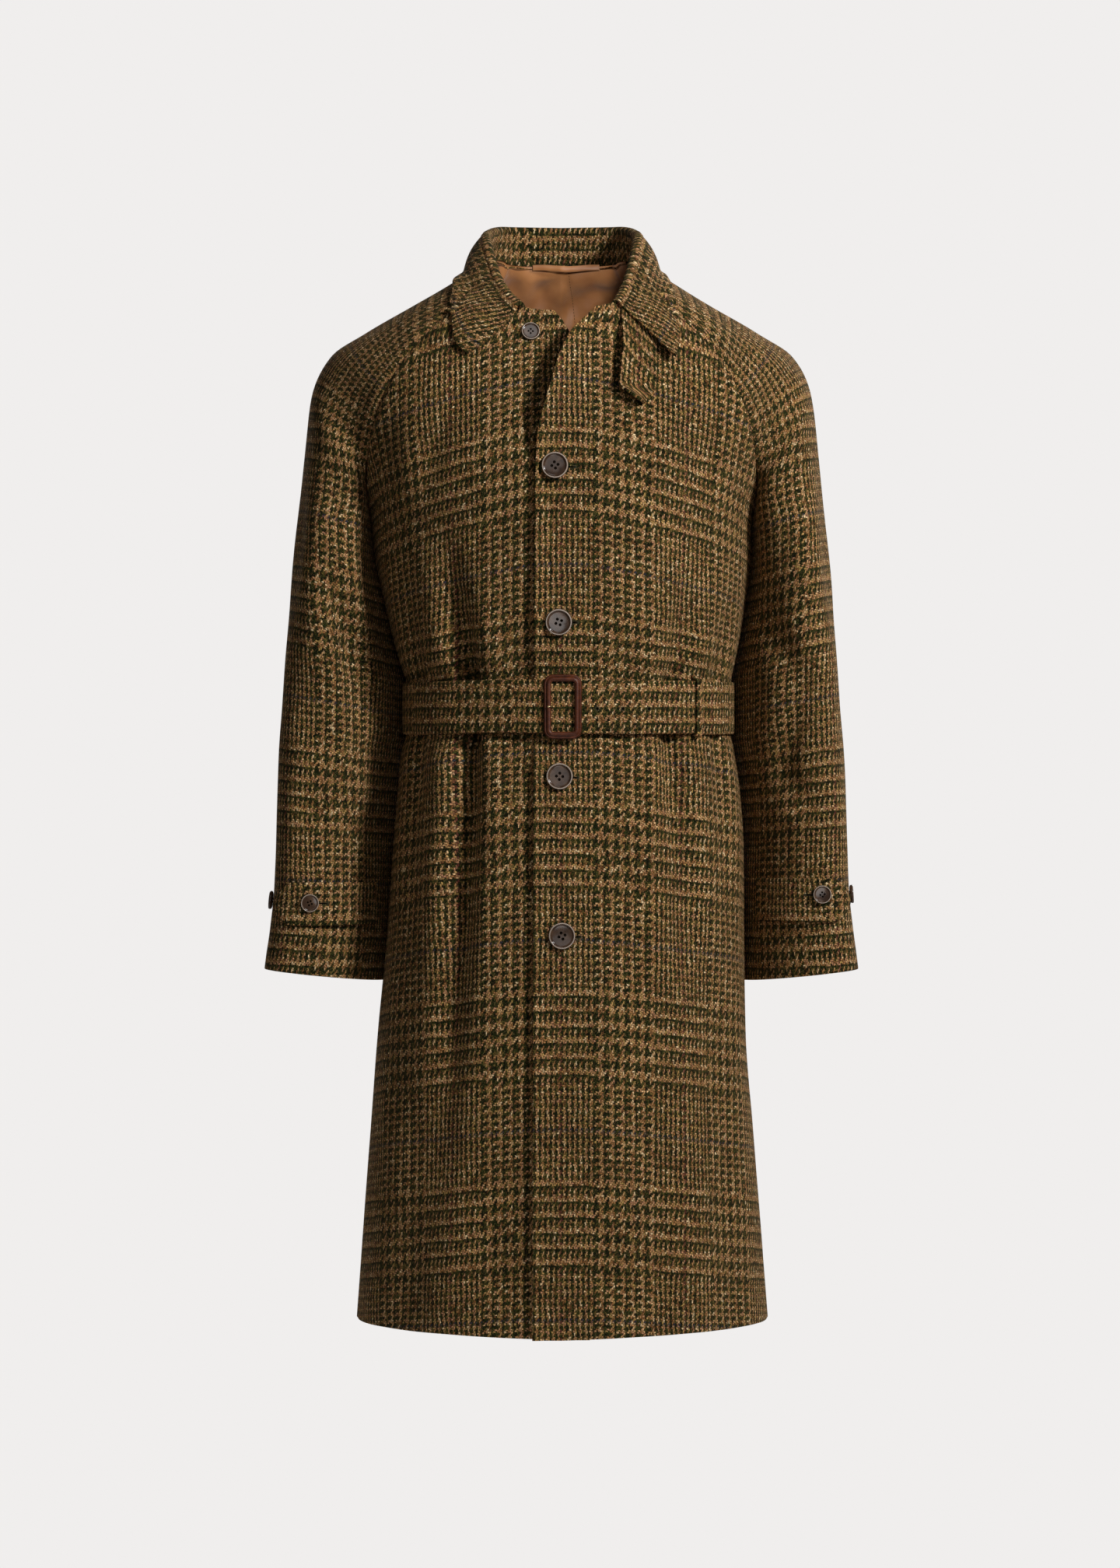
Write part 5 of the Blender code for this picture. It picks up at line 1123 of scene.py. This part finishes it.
belt_form = np.repeat(outer_line[None], BELT_ROWS, axis=0)
belt_form[..., 2] += shares[:, None] * BELT_WIDTH / 2 + BELT_SWAY * np.sin(places * 29 + 0.4)
belt_facing = np.repeat(belt_out[None], BELT_ROWS, axis=0)
belt_push = BELT_RIPPLE * np.sin(places * 71)[None] * (1 - shares[:, None] ** 2)
belt_push -= BELT_ROUNDED * shares[:, None] ** 6
belt_form += belt_facing * belt_push[..., None]
across = np.repeat((places - turn_length)[None], BELT_ROWS, axis=0)
belt_cut = on_check(across, belt_form[..., 2], BELT_FIRST_END, BELT_PICK)
belt = make_sheet("tweed_belt", belt_form, belt_facing, belt_cut, BELT_WALL, [tweed])
hand_over(belt, "belt")


# The belt keeper: a narrow strip of tweed sewn to the coat above and below the belt. The tail of the
# belt ends under it.
KEEPER_PLACE, KEEPER_WIDTH, KEEPER_WALL = 0.1430, 0.0068, 0.0016
KEEPER_ROWS, KEEPER_COLUMNS = 61, 5
stack = BELT_REST + 2 * BELT_WALL + 3 * REST
belt_edge = BELT_WIDTH / 2
# Place along half the strip, from its sewn end to the belt's middle: distance out and height
KEEPER_HALF = np.array([
    (0, 0.0006, belt_edge + 0.0060), (1, 0.0030, belt_edge + 0.0026), (2, stack * 0.7, belt_edge + 0.0012),
    (3, stack, belt_edge + 0.0004), (4, stack, belt_edge / 2), (6, stack, 0.0),
])
keeper_spots = KEEPER_PLACE + np.array([0.0, -NEARBY, NEARBY])
keeper_middle, before, after = along(waist, waist_lengths, keeper_spots)
keeper_way = unit(after - before)
keeper_out = np.array([keeper_way[1], -keeper_way[0], 0.0])
keeper_form = []
last_place = KEEPER_HALF[-1, 0]
widths = np.linspace(-KEEPER_WIDTH / 2, KEEPER_WIDTH / 2, KEEPER_COLUMNS)
for place in np.linspace(-last_place, last_place, KEEPER_ROWS):
    out, height = read(KEEPER_HALF, last_place - abs(place))
    middle = keeper_middle + keeper_out * out + (0, 0, math.copysign(height, place))
    keeper_form.append([middle + keeper_way * width for width in widths])
keeper_form = kept_clear(np.array(keeper_form), coat_tree, REST)
keeper_facing = facing_of(keeper_form, body_middle(keeper_form))
across, down = measured(keeper_form)
keeper_cut = on_check(across, down, 0.0007, 0.0)
keeper = make_sheet("tweed_belt_keeper", keeper_form, keeper_facing, keeper_cut, KEEPER_WALL, [tweed],
                    offset=1.0)
hand_over(keeper, "belt_keeper")


# Cuff straps: doubled tweed, sewn into the underarm side of each sleeve, lying round its front and
# ending in a blunt point on the outside, held by the first cuff button.

# Place round the sleeve (0 under the arm, 0.25 in front, 0.5 outside) and half height there
CUFF_STRAP = np.array([
    (0.1250, 0.0216), (0.1875, 0.0218), (0.2500, 0.0220), (0.3125, 0.0222), (0.3750, 0.0222),
    (0.4100, 0.0140), (0.4375, 0.0035),
])
STRAP_PLACES, STRAP_COLUMNS = 57, 11
AROUND_STEP, ALONG_STEP = 0.03, 0.02
STRAP_LOOSE, STRAP_SHIFT, STRAP_PICK = 0.0012, 0.09, SLEEVE_PICK + 0.012


def on_sleeve(side, around, height):
    """A point of a sleeve's outer face: around is 0 at the underarm line, 0.25 in front and 0.5 outside."""
    grid = sleeves[side][JOINED_ROW:]
    place = around * (grid.shape[1] - 1)
    column = min(int(place), grid.shape[1] - 2)
    before, after = grid[::-1, column], grid[::-1, column + 1]
    line = before + (after - before) * (place - column)
    return np.array([np.interp(height, line[:, 2], line[:, axis]) for axis in range(3)])


def sleeve_out(side, around, height):
    """The way out of a sleeve's face, from its neighbours round the sleeve and along it."""
    round_it = on_sleeve(side, around + AROUND_STEP, height)
    round_it -= on_sleeve(side, max(around - AROUND_STEP, 0.0), height)
    upward = on_sleeve(side, around, height + ALONG_STEP) - on_sleeve(side, around, height - ALONG_STEP)
    out = unit(np.cross(round_it, upward))
    middle = (on_sleeve(side, 0.0, height) + on_sleeve(side, 0.5, height)) / 2
    return out if out @ (on_sleeve(side, around, height) - middle) > 0 else -out


strap_trees = {}
for side in (LEFT, RIGHT):
    strap_form = np.zeros((STRAP_PLACES, STRAP_COLUMNS, 3))
    strap_facing = np.zeros_like(strap_form)
    for row, around in enumerate(np.linspace(CUFF_STRAP[0, 0], CUFF_STRAP[-1, 0], STRAP_PLACES)):
        half_height = read(CUFF_STRAP, around)[0]
        strap_facing[row] = sleeve_out(side, around, STRAP_HEIGHT[side])
        for column, share in enumerate(np.linspace(-1.0, 1.0, STRAP_COLUMNS)):
            spot = on_sleeve(side, around, STRAP_HEIGHT[side] + half_height * share)
            loose = STRAP_LOOSE * (1.0 - share) * ease(0.12, 0.2, around) * (1 - ease(0.27, 0.33, around))
            strap_form[row, column] = spot + strap_facing[row, column] * (STRAP_REST + loose)
    sleeve = (sleeves[side], sleeve_facings[side])
    strap_form = kept_clear(strap_form, tree_of(sleeve), STRAP_REST)
    across, down = measured(strap_form)
    strap_cut = on_check(side * (down - STRAP_SHIFT), strap_form[..., 2], 0.0, STRAP_PICK)
    strap = make_sheet("tweed_cuff_strap_" + NAMES[side], strap_form, strap_facing, strap_cut, STRAP_WALL,
                       [tweed], offset=1.0)
    hand_over(strap, "cuff_strap_" + NAMES[side])
    strap_top = strap_form + strap_facing * STRAP_WALL
    strap_trees[side] = tree_of(sleeve, (strap_top, strap_facing))


# The buckle: a stiff frame covered in reddish brown leather, with a flat turned edge, a stitched groove
# and a rounded inner band. A bar behind the strap carries it on the belt's start.
BUCKLE_CENTRE, BUCKLE_WIDTH, BUCKLE_HEIGHT = 0.0012, 0.0386, 0.0655
BUCKLE_CORNER = 0.0095
BAR_WIDTH, BAR_DEPTH, BAR_HEIGHT = 0.0060, 0.0020, BUCKLE_HEIGHT - 0.004
# Distance in from the outer edge and height of the frame's face there
BUCKLE_PROFILE = [
    (0.0000, 0.0010), (0.0005, 0.0017), (0.0016, 0.0019), (0.0024, 0.0016), (0.0029, 0.0021),
    (0.0036, 0.0032), (0.0047, 0.0037), (0.0058, 0.0035), (0.0068, 0.0027), (0.0074, 0.0011),
]
STITCH_INSET = 0.0024
SMALL_STITCH = (0.0017, 0.0006)
strap_face = -read(BODY, BELT_HEIGHT)[2] - tail_stand_off(0.02) - BELT_WALL
frame_back = strap_face - REST

# Vegetable tanned leather: reddish brown in worn patches of 6 mm, with a fine pebble of 0.9 mm.
leather, shader, _ = mottled_material("red_brown_leather", 0.46, 0.45, 0.006, (0.30, "#46200F"),
                                      (0.55, "#5E2C14"), (0.75, "#743C1C"), Detail=3.0)
place = add(leather, "TexCoord").outputs["Object"]
pebble = add(leather, "TexVoronoi", {"Vector": place, "Scale": 1 / 0.0009})
bump = add(leather, "Bump", {"Height": pebble, "Distance": 0.0003, "Strength": 0.35})
set_inputs(leather, shader, {"Normal": bump})

shape = bmesh.new()
upright = Matrix.Translation((BUCKLE_CENTRE, frame_back, BELT_HEIGHT)) @ Matrix.Rotation(math.pi / 2, 4, "X")
bmesh.ops.create_grid(shape, x_segments=1, y_segments=1, size=0.5)
bmesh.ops.scale(shape, vec=(BUCKLE_WIDTH, BUCKLE_HEIGHT, 1.0), verts=shape.verts)
bmesh.ops.bevel(shape, geom=shape.verts[:], offset=BUCKLE_CORNER, offset_type="OFFSET", segments=6,
                profile=0.5, affect="VERTICES", material=-1)
outer_edges = shape.edges[:]
window = max(shape.faces, key=lambda face: face.calc_area())
for vert in shape.verts:
    vert.co.z = BUCKLE_PROFILE[0][1]
for (inset, _), (next_inset, height) in zip(BUCKLE_PROFILE, BUCKLE_PROFILE[1:]):
    bmesh.ops.inset_region(shape, faces=[window], thickness=next_inset - inset, use_even_offset=True,
                            use_boundary=True)
    for vert in window.verts:
        vert.co.z = height
inner_edges = window.edges[:]
bmesh.ops.delete(shape, geom=[window], context="FACES_ONLY")
walls = []
for rim in (outer_edges, inner_edges):
    grown = bmesh.ops.extrude_edge_only(shape, edges=rim)["geom"]
    for vert in (piece for piece in grown if isinstance(piece, bmesh.types.BMVert)):
        vert.co.z = 0.0
    walls += [edge for edge in grown if isinstance(edge, bmesh.types.BMEdge) and edge.is_boundary]
bmesh.ops.bridge_loops(shape, edges=walls)
bmesh.ops.transform(shape, matrix=upright, verts=shape.verts)
bar_place = Matrix.Translation((BUCKLE_CENTRE, strap_face + BELT_WALL + REST + BAR_DEPTH / 2, BELT_HEIGHT))
bar_size = Matrix.Diagonal((BAR_WIDTH, BAR_DEPTH, BAR_HEIGHT, 1.0))
bmesh.ops.create_cube(shape, size=1.0, matrix=bar_place @ bar_size)
bmesh.ops.recalc_face_normals(shape, faces=shape.faces)
buckle = finished("leather_buckle", shape, leather, 60)
hand_over(buckle, "buckle")

shape = bmesh.new()
reach = Vector((BUCKLE_WIDTH / 2 - STITCH_INSET, BUCKLE_HEIGHT / 2 - STITCH_INSET))
groove = frame_back - BUCKLE_PROFILE[3][1]
for sign in (1, -1):
    for count, ends, is_side in ((23, reach.y - BUCKLE_CORNER, True), (11, reach.x - BUCKLE_CORNER, False)):
        for share in np.linspace(-1.0, 1.0, count):
            x, z = (sign * reach.x, share * ends) if is_side else (share * ends, sign * reach.y)
            way = Vector((0.0, 0.0, 1.0)) if is_side else Vector((1.0, 0.0, 0.0))
            spot = Vector((BUCKLE_CENTRE + x, groove, BELT_HEIGHT + z))
            add_stitch(shape, spot, way, -FORWARD, *SMALL_STITCH)
buckle_stitches = finished("thread_buckle_stitches", shape, thread)
hand_over(buckle_stitches)


# The tongue: a bent brass pin on the buckle's bar. Its root comes up through the strap and its tip lies
# on the frame.
TONGUE_RADIUS = 0.0008
# Satin brass: pale yellow metal, faintly clouded, with a soft glint.
brass, shader, _ = mottled_material("satin_brass", 0.34, 0.5, 0.0015, (0.3, "#B79A62"), (0.7, "#E6D6AC"))
set_inputs(brass, shader, {"Metallic": 1.0})
frame_left = BUCKLE_CENTRE - BUCKLE_WIDTH / 2
tongue_top = frame_back - BUCKLE_PROFILE[6][1] - TONGUE_RADIUS
tongue_root = strap_face - TONGUE_RADIUS * 0.4
# From the tip to the root: distance from the frame's outer edge, y, and share of the radius
route = [
    (0.0038, tongue_top, 0.5), (0.0040, tongue_top, 0.85), (0.0045, tongue_top, 1.0),
    (0.0062, tongue_top + 0.0004, 1.0), (0.0078, tongue_top + 0.0018, 1.0),
    (0.0090, tongue_root - 0.0004, 1.0), (0.0102, tongue_root, 0.9),
]
shape = bmesh.new()
x, y, wide = route[0]
tip_at = Matrix.Translation((frame_left + x, y, BELT_HEIGHT)) @ Matrix.Rotation(math.pi / 2, 4, "Y")
bmesh.ops.create_circle(shape, cap_ends=True, segments=12, radius=TONGUE_RADIUS * wide, matrix=tip_at)
leading = shape.faces[:][0]
for next_x, next_y, next_wide in route[1:]:
    leading = bmesh.ops.extrude_discrete_faces(shape, faces=[leading])["faces"][0]
    bmesh.ops.translate(shape, vec=(next_x - x, next_y - y, 0.0), verts=leading.verts)
    bmesh.ops.scale(shape, vec=(1.0, next_wide / wide, next_wide / wide), verts=leading.verts,
                    space=Matrix.Translation((-frame_left - next_x, -next_y, -BELT_HEIGHT)))
    x, y, wide = next_x, next_y, next_wide
bmesh.ops.recalc_face_normals(shape, faces=shape.faces)
tongue = finished("brass_buckle_tongue", shape, brass, 50)
hand_over(tongue, "buckle_tongue")


# The buttons: turned from dark brown horn, with a raised polished rim, a dished face and four holes. Each
# is sewn on through them and stands just off the cloth.
Button = namedtuple("Button", "across thick")
LARGE, SMALL = Button(0.0272, 0.0042), Button(0.0190, 0.0036)
BUTTON_SIDES, HOLE_SIDES = 64, 14
HOLE_RADIUS, HOLE_RING = 0.112, 0.235
RIM_INSIDE, RIM_OUTSIDE, RIM_HIGH = 0.89, 0.97, 0.9
KNOT_HIGH, LOOK_FROM = 0.10, 0.02
# From the middle of the back to the middle of the face, in shares of the radius and the thickness
BUTTON_PROFILE = [
    (0.00, 0.00), (0.80, 0.00), (0.92, 0.12), (0.985, 0.36), (1.00, 0.60), (0.985, 0.84), (0.95, 0.97),
    (0.91, 1.00), (0.87, 0.97), (0.84, 0.88), (0.82, 0.76), (0.79, 0.69), (0.72, 0.66), (0.00, 0.64),
]
SHARP = 35

# Horn: dark brown, faintly clouded at 9 mm, with a polished face, and a painted highlight: a pale colour on
# the crest of the rim.
horn, shader, clouds_and_rim_highlight = mottled_material("polished_dark_horn", 0.13, 0.50, 0.009, (0.30, "#34241A"),
                                        (0.52, "#473325"), (0.72, "#5B4433"), Distortion=0.6)
# Painted highlight: a pale colour on the rim's crest, where the mesh marks it
painted_rim_highlight = add(horn, "Attribute", attribute_name="rim").outputs["Fac"]
clouds_and_rim_highlight = add(horn, "Mix", {0: painted_rim_highlight, 6: clouds_and_rim_highlight, 7: colour("#B09F90")}, data_type="RGBA")
set_inputs(horn, shader, {"Base Color": clouds_and_rim_highlight})


def hole_spots(radius):
    turns = [math.pi / 2 * (quarter + 0.5) for quarter in range(4)]
    return [(HOLE_RING * radius * math.cos(turn), HOLE_RING * radius * math.sin(turn)) for turn in turns]


def turned_button(kind):
    """A button's mesh: a turned disc with four drilled holes, and the crest of its rim marked for a painted
    highlight.
    """
    radius = kind.across / 2
    shape = bmesh.new()
    profile = [shape.verts.new((out * radius, 0.0, up * kind.thick)) for out, up in BUTTON_PROFILE]
    edges = [shape.edges.new(pair) for pair in zip(profile, profile[1:])]
    bmesh.ops.spin(shape, geom=profile + edges, cent=(0, 0, 0), axis=(0, 0, 1), angle=2 * math.pi,
                   steps=BUTTON_SIDES, use_merge=True)
    bmesh.ops.remove_doubles(shape, verts=shape.verts, dist=1e-6)
    bmesh.ops.recalc_face_normals(shape, faces=shape.faces)
    blank = finished("blank", shape, horn, SHARP)
    drills = bmesh.new()
    for spot in hole_spots(radius):
        bmesh.ops.create_cone(drills, cap_ends=True, segments=HOLE_SIDES, radius1=HOLE_RADIUS * radius,
                              radius2=HOLE_RADIUS * radius, depth=kind.thick * 3,
                              matrix=Matrix.Translation((*spot, kind.thick / 2)))
    drill = finished("drill", drills, horn)
    holes = blank.modifiers.new("holes", "BOOLEAN")
    holes.operation = "DIFFERENCE"
    holes.object = drill
    pierced = bpy.data.meshes.new_from_object(blank.evaluated_get(bpy.context.evaluated_depsgraph_get()))
    for helper in (blank, drill):
        bpy.data.objects.remove(helper)
    pierced.set_sharp_from_angle(angle=math.radians(SHARP))
    # The rim's crest is marked for the horn's painted highlight
    rim = pierced.attributes.new("rim", "FLOAT", "POINT")
    for vert, spot in zip(pierced.vertices, rim.data):
        on_rim = RIM_INSIDE < vert.co.xy.length / radius < RIM_OUTSIDE
        spot.value = float(on_rim and vert.co.z > RIM_HIGH * kind.thick)
    return pierced


def resting_place(tree, spot, aim, across, gap):
    """Where something flat rests when it is moved from a spot along an aim on to the coat: its matrix."""
    found, normal, _, _ = tree.ray_cast(Vector(spot), Vector(aim).normalized())
    turn = Vector((0, 0, 1)).rotation_difference(normal)
    high = 0.0
    for angle in np.arange(12) * math.pi / 6:
        rim = turn @ Vector((math.cos(angle), math.sin(angle), 0)) * across / 2
        for share in (0.5, 1.0):
            under, _, _, _ = tree.ray_cast(found + rim * share + normal * LOOK_FROM, -normal)
            high = max(high, (under - found).dot(normal)) if under is not None else high
    return Matrix.Translation(found + normal * (high + gap)) @ turn.to_matrix().to_4x4()


Sewn = namedtuple("Sewn", "name kind tree spot aim turn")
# Name and kind, x and height, and the turn of the holes
FRONT_BUTTONS = [
    ("button_front_1", LARGE, -0.0067, -0.1712, 55), ("button_front_2", LARGE, -0.0028, -0.3282, 70),
    ("button_front_3", LARGE, -0.0020, -0.4851, 40), ("button_front_4", LARGE, 0.0004, -0.6462, 62),
    ("button_neck", SMALL, -0.0317, -0.0324, 48),
]
# Side and name, place round the sleeve and height, and the turn of the holes
CUFF_BUTTONS = [
    (RIGHT, "button_cuff_right_1", 0.335, -0.6149, 35), (RIGHT, "button_cuff_right_2", 0.500, -0.6130, 10),
    (LEFT, "button_cuff_left_1", 0.350, -0.6060, 50), (LEFT, "button_cuff_left_2", 0.500, -0.6067, 25),
]
AHEAD_OF_COAT, OFF_SLEEVE = -0.3, 0.02
sewn = [Sewn(name, kind, coat_tree, (x, AHEAD_OF_COAT, height), FORWARD, turn)
        for name, kind, x, height, turn in FRONT_BUTTONS]
for side, name, around, height, turn in CUFF_BUTTONS:
    out = sleeve_out(side, around, height)
    spot = on_sleeve(side, around, height) + out * OFF_SLEEVE
    sewn.append(Sewn(name, SMALL, strap_trees[side], spot, -out, turn))
button_meshes = {kind: turned_button(kind) for kind in (LARGE, SMALL)}
shape = bmesh.new()
for one in sewn:
    mesh = button_meshes[one.kind].copy()
    mesh.name = "horn_" + one.name
    rest_at = resting_place(one.tree, one.spot, one.aim, one.kind.across, REST)
    rest_at = rest_at @ Matrix.Rotation(math.radians(one.turn), 4, "Z")
    mesh.transform(rest_at)
    # Thread knots in the holes, nearly black: partly painted shade of the holes
    knot = HOLE_RADIUS * one.kind.across
    for spot in hole_spots(one.kind.across / 2):
        middle = rest_at @ Vector((*spot, one.kind.thick * KNOT_HIGH))
        add_stitch(shape, middle, rest_at.col[0].xyz, rest_at.col[2].xyz, knot, knot)
    made = bpy.data.objects.new("horn_" + one.name, mesh)
    bpy.context.scene.collection.objects.link(made)
    hand_over(made, one.name)
button_threads = finished("thread_button_stitches", shape, thread)
hand_over(button_threads)


# Buttonholes and eyelets: worked by hand in dark green thread, close stitches round a slit or a small
# hole. The buttonholes lie level under the front and cuff buttons and the eyelets along the belt's tail.

# Buttonhole thread: dull green silk, mottled by its twist.
green, _, _ = mottled_material("dark_green_buttonhole_thread", 0.75, 0.2, 0.0005, (0.3, "#25251A"),
                               (0.7, "#5E5A40"))
# Painted shade of a worked hole: a matt, nearly black colour with a faint mottle, on a flat disc that stands
# for the dark inside.
painted_hole_shade, _, _ = mottled_material("painted_shade_inside_holes", 1.0, 0.0, 0.001, (0.3, "#050402"), (0.7, "#0E0B07"))
Worked = namedtuple("Worked", "tree spot aim length width stitches")
# Length, width and number of stitches
FRONT_HOLE, EYELET, CUFF_HOLE = (0.0200, 0.0020, 44), (0.0030, 0.0030, 16), (0.0120, 0.0014, 30)
EYELET_HEIGHT = BELT_HEIGHT - 0.0020
STITCH_OUT, SHADE_DISC_RISE = 0.0005, 0.00015
FRONT_HOLE_SPOTS = ((0.0045, -0.1722), (0.0068, -0.3290), (0.0074, -0.4860), (0.0098, -0.6470))
EYELET_SPOTS = (0.0362, 0.0622, 0.0889)
# Side, place round the sleeve and height
CUFF_HOLE_SPOTS = ((LEFT, 0.318, -0.6066), (RIGHT, 0.302, -0.6153))
belt_tree = tree_of((belt_form, belt_facing))
holes = [Worked(coat_tree, (x, AHEAD_OF_COAT, height), FORWARD, *FRONT_HOLE)
         for x, height in FRONT_HOLE_SPOTS]
holes += [Worked(belt_tree, (x, AHEAD_OF_COAT, EYELET_HEIGHT), FORWARD, *EYELET)
          for x in EYELET_SPOTS]
for side, around, height in CUFF_HOLE_SPOTS:
    out = sleeve_out(side, around, height)
    spot = on_sleeve(side, around, height) + out * OFF_SLEEVE
    holes.append(Worked(strap_trees[side], spot, -out, *CUFF_HOLE))
shape, slits = bmesh.new(), bmesh.new()
for hole in holes:
    base = resting_place(hole.tree, hole.spot, hole.aim, 0.0, 0.0)
    facing = base.to_3x3() @ Vector((0, 0, 1))
    level = Vector((1.0, 0.0, 0.0))
    level = (level - facing * level.dot(facing)).normalized()
    upward = facing.cross(level)
    frame_at = Matrix((level, upward, facing)).transposed().to_4x4()
    frame_at.translation = base.translation
    for k in range(hole.stitches):
        angle = 2 * math.pi * k / hole.stitches
        round_it = Vector((hole.length / 2 * math.cos(angle), hole.width / 2 * math.sin(angle), 0.0))
        outward = Vector((math.cos(angle) * hole.width, math.sin(angle) * hole.length, 0.0)).normalized()
        middle = frame_at @ (round_it + outward * STITCH_OUT)
        add_stitch(shape, middle, frame_at.to_3x3() @ outward, facing, *SMALL_STITCH)
    # Painted shade: a near-black flat disc just over the cloth in each slit and eyelet stands for the shade
    # inside it
    size = Matrix.Diagonal((hole.length / 2, hole.width / 2, 1.0, 1.0))
    shade_disc = frame_at @ Matrix.Translation((0, 0, SHADE_DISC_RISE)) @ size
    bmesh.ops.create_circle(slits, cap_ends=True, segments=24, radius=1.0, matrix=shade_disc)
worked = finished("thread_buttonholes_and_eyelets", shape, green)
hole_shade_discs = finished("painted_shade_in_buttonhole_slits", slits, painted_hole_shade)
for made in (worked, hole_shade_discs):
    hand_over(made)


# The floor and the light of a plain studio: a pale disc under the coat, a key lamp on the right, a weak
# fill in front, two lamps behind, and a pale surround. The other lamps reach only the lining in the neck,
# the polished pieces or the floor.
PAPER, SURROUND = "#F0EEED", 0.11
FLOOR_HEIGHT, FLOOR_RADIUS = -1.48, 0.85
# Studio paper: matt and pale, with a faint mottle.
paper, shader = new_material("pale_studio_paper", 0.9, 0.2)
fleck = add(paper, "TexNoise", {"Vector": add(paper, "TexCoord").outputs["Object"], "Scale": 40.0})
fleck = add(paper, "MapRange", {0: fleck, 3: 0.97, 4: 1.0})
tone = add(paper, "Mix", {0: 1.0, 6: colour(PAPER), 7: fleck}, data_type="RGBA", blend_type="MULTIPLY")
set_inputs(paper, shader, {"Base Color": tone})
disc = bmesh.new()
bmesh.ops.create_circle(disc, cap_ends=True, radius=FLOOR_RADIUS, segments=96,
                        matrix=Matrix.Translation((0, 0, FLOOR_HEIGHT)))
floor = finished("studio_floor", disc, paper)

world = bpy.data.worlds.new("pale_surround")
bpy.context.scene.world = world
world.use_nodes = True
surround = world.node_tree.nodes["Background"]
set_inputs(world, surround, {"Color": colour("#F4F2F0"), "Strength": SURROUND})
seen = add(world, "Background", {"Color": colour(PAPER)})
to_camera = add(world, "LightPath").outputs["Is Camera Ray"]
both = add(world, "MixShader", {0: to_camera, 1: surround, 2: seen})
set_inputs(world, world.node_tree.nodes["World Output"], {"Surface": both})

inside_neck = bpy.data.collections.new("inside_the_neck")
for made in (back_lining, hanger_loop, lining_stitches):
    inside_neck.objects.link(made)
floor_only = bpy.data.collections.new("floor_only")
floor_only.objects.link(floor)
polished = bpy.data.collections.new("polished_pieces")
for made in bpy.context.scene.objects:
    if made.name.startswith(("horn_", "brass_")):
        polished.objects.link(made)
Lamp = namedtuple("Lamp", "name place aim size power spread reaches")
for lamp in (
    Lamp("key", (1.75, -1.85, 0.95), (0.0, 0.0, -0.15), 0.55, 20.5, 110, None),
    Lamp("fill", (0.10, -3.4, 0.30), (0.0, 0.0, -0.5), 1.3, 4.0, 180, None),
    Lamp("back_right", (1.7, 2.7, 1.0), (0.0, 0.0, -0.4), 1.2, 36.0, 180, None),
    Lamp("back_left", (-1.2, 3.0, 0.8), (0.0, 0.0, -0.5), 1.5, 16.0, 180, None),
    Lamp("neck", (0.30, -1.95, 0.20), (0.0, 0.08, 0.03), 0.25, 38.0, 180, inside_neck),
    Lamp("gloss_low", (0.18, -3.5, -1.22), (0.0, 0.0, -0.35), 1.2, 9.0, 180, polished),
    Lamp("gloss_high", (0.33, -1.75, 1.45), (0.0, 0.0, -0.1), 0.9, 4.5, 180, polished),
    Lamp("floor", (0.0, 0.0, 2.6), (0.0, 0.0, FLOOR_HEIGHT), 2.4, 42.0, 180, floor_only),
):
    bulb = bpy.data.lights.new(lamp.name, "AREA")
    bulb.shape = "DISK"
    bulb.size = lamp.size
    bulb.energy = lamp.power
    bulb.spread = math.radians(lamp.spread)
    made = bpy.data.objects.new(lamp.name, bulb)
    made.location = lamp.place
    made.rotation_euler = (Vector(lamp.aim) - Vector(lamp.place)).to_track_quat("-Z", "Y").to_euler()
    bpy.context.scene.collection.objects.link(made)
    if lamp.reaches is not None:
        made.light_linking.receiver_collection = lamp.reaches

camera = bpy.data.cameras.new("camera")
camera.sensor_fit = "VERTICAL"
camera.sensor_height = 36.0
camera.lens = 110.2
eye = bpy.data.objects.new("camera", camera)
eye.location = (-0.0016, -5.0, -0.4925)
eye.rotation_euler = (math.pi / 2, 0.0, 0.0)
bpy.context.scene.collection.objects.link(eye)
bpy.context.scene.camera = eye
bpy.context.scene.view_settings.view_transform = "Standard"
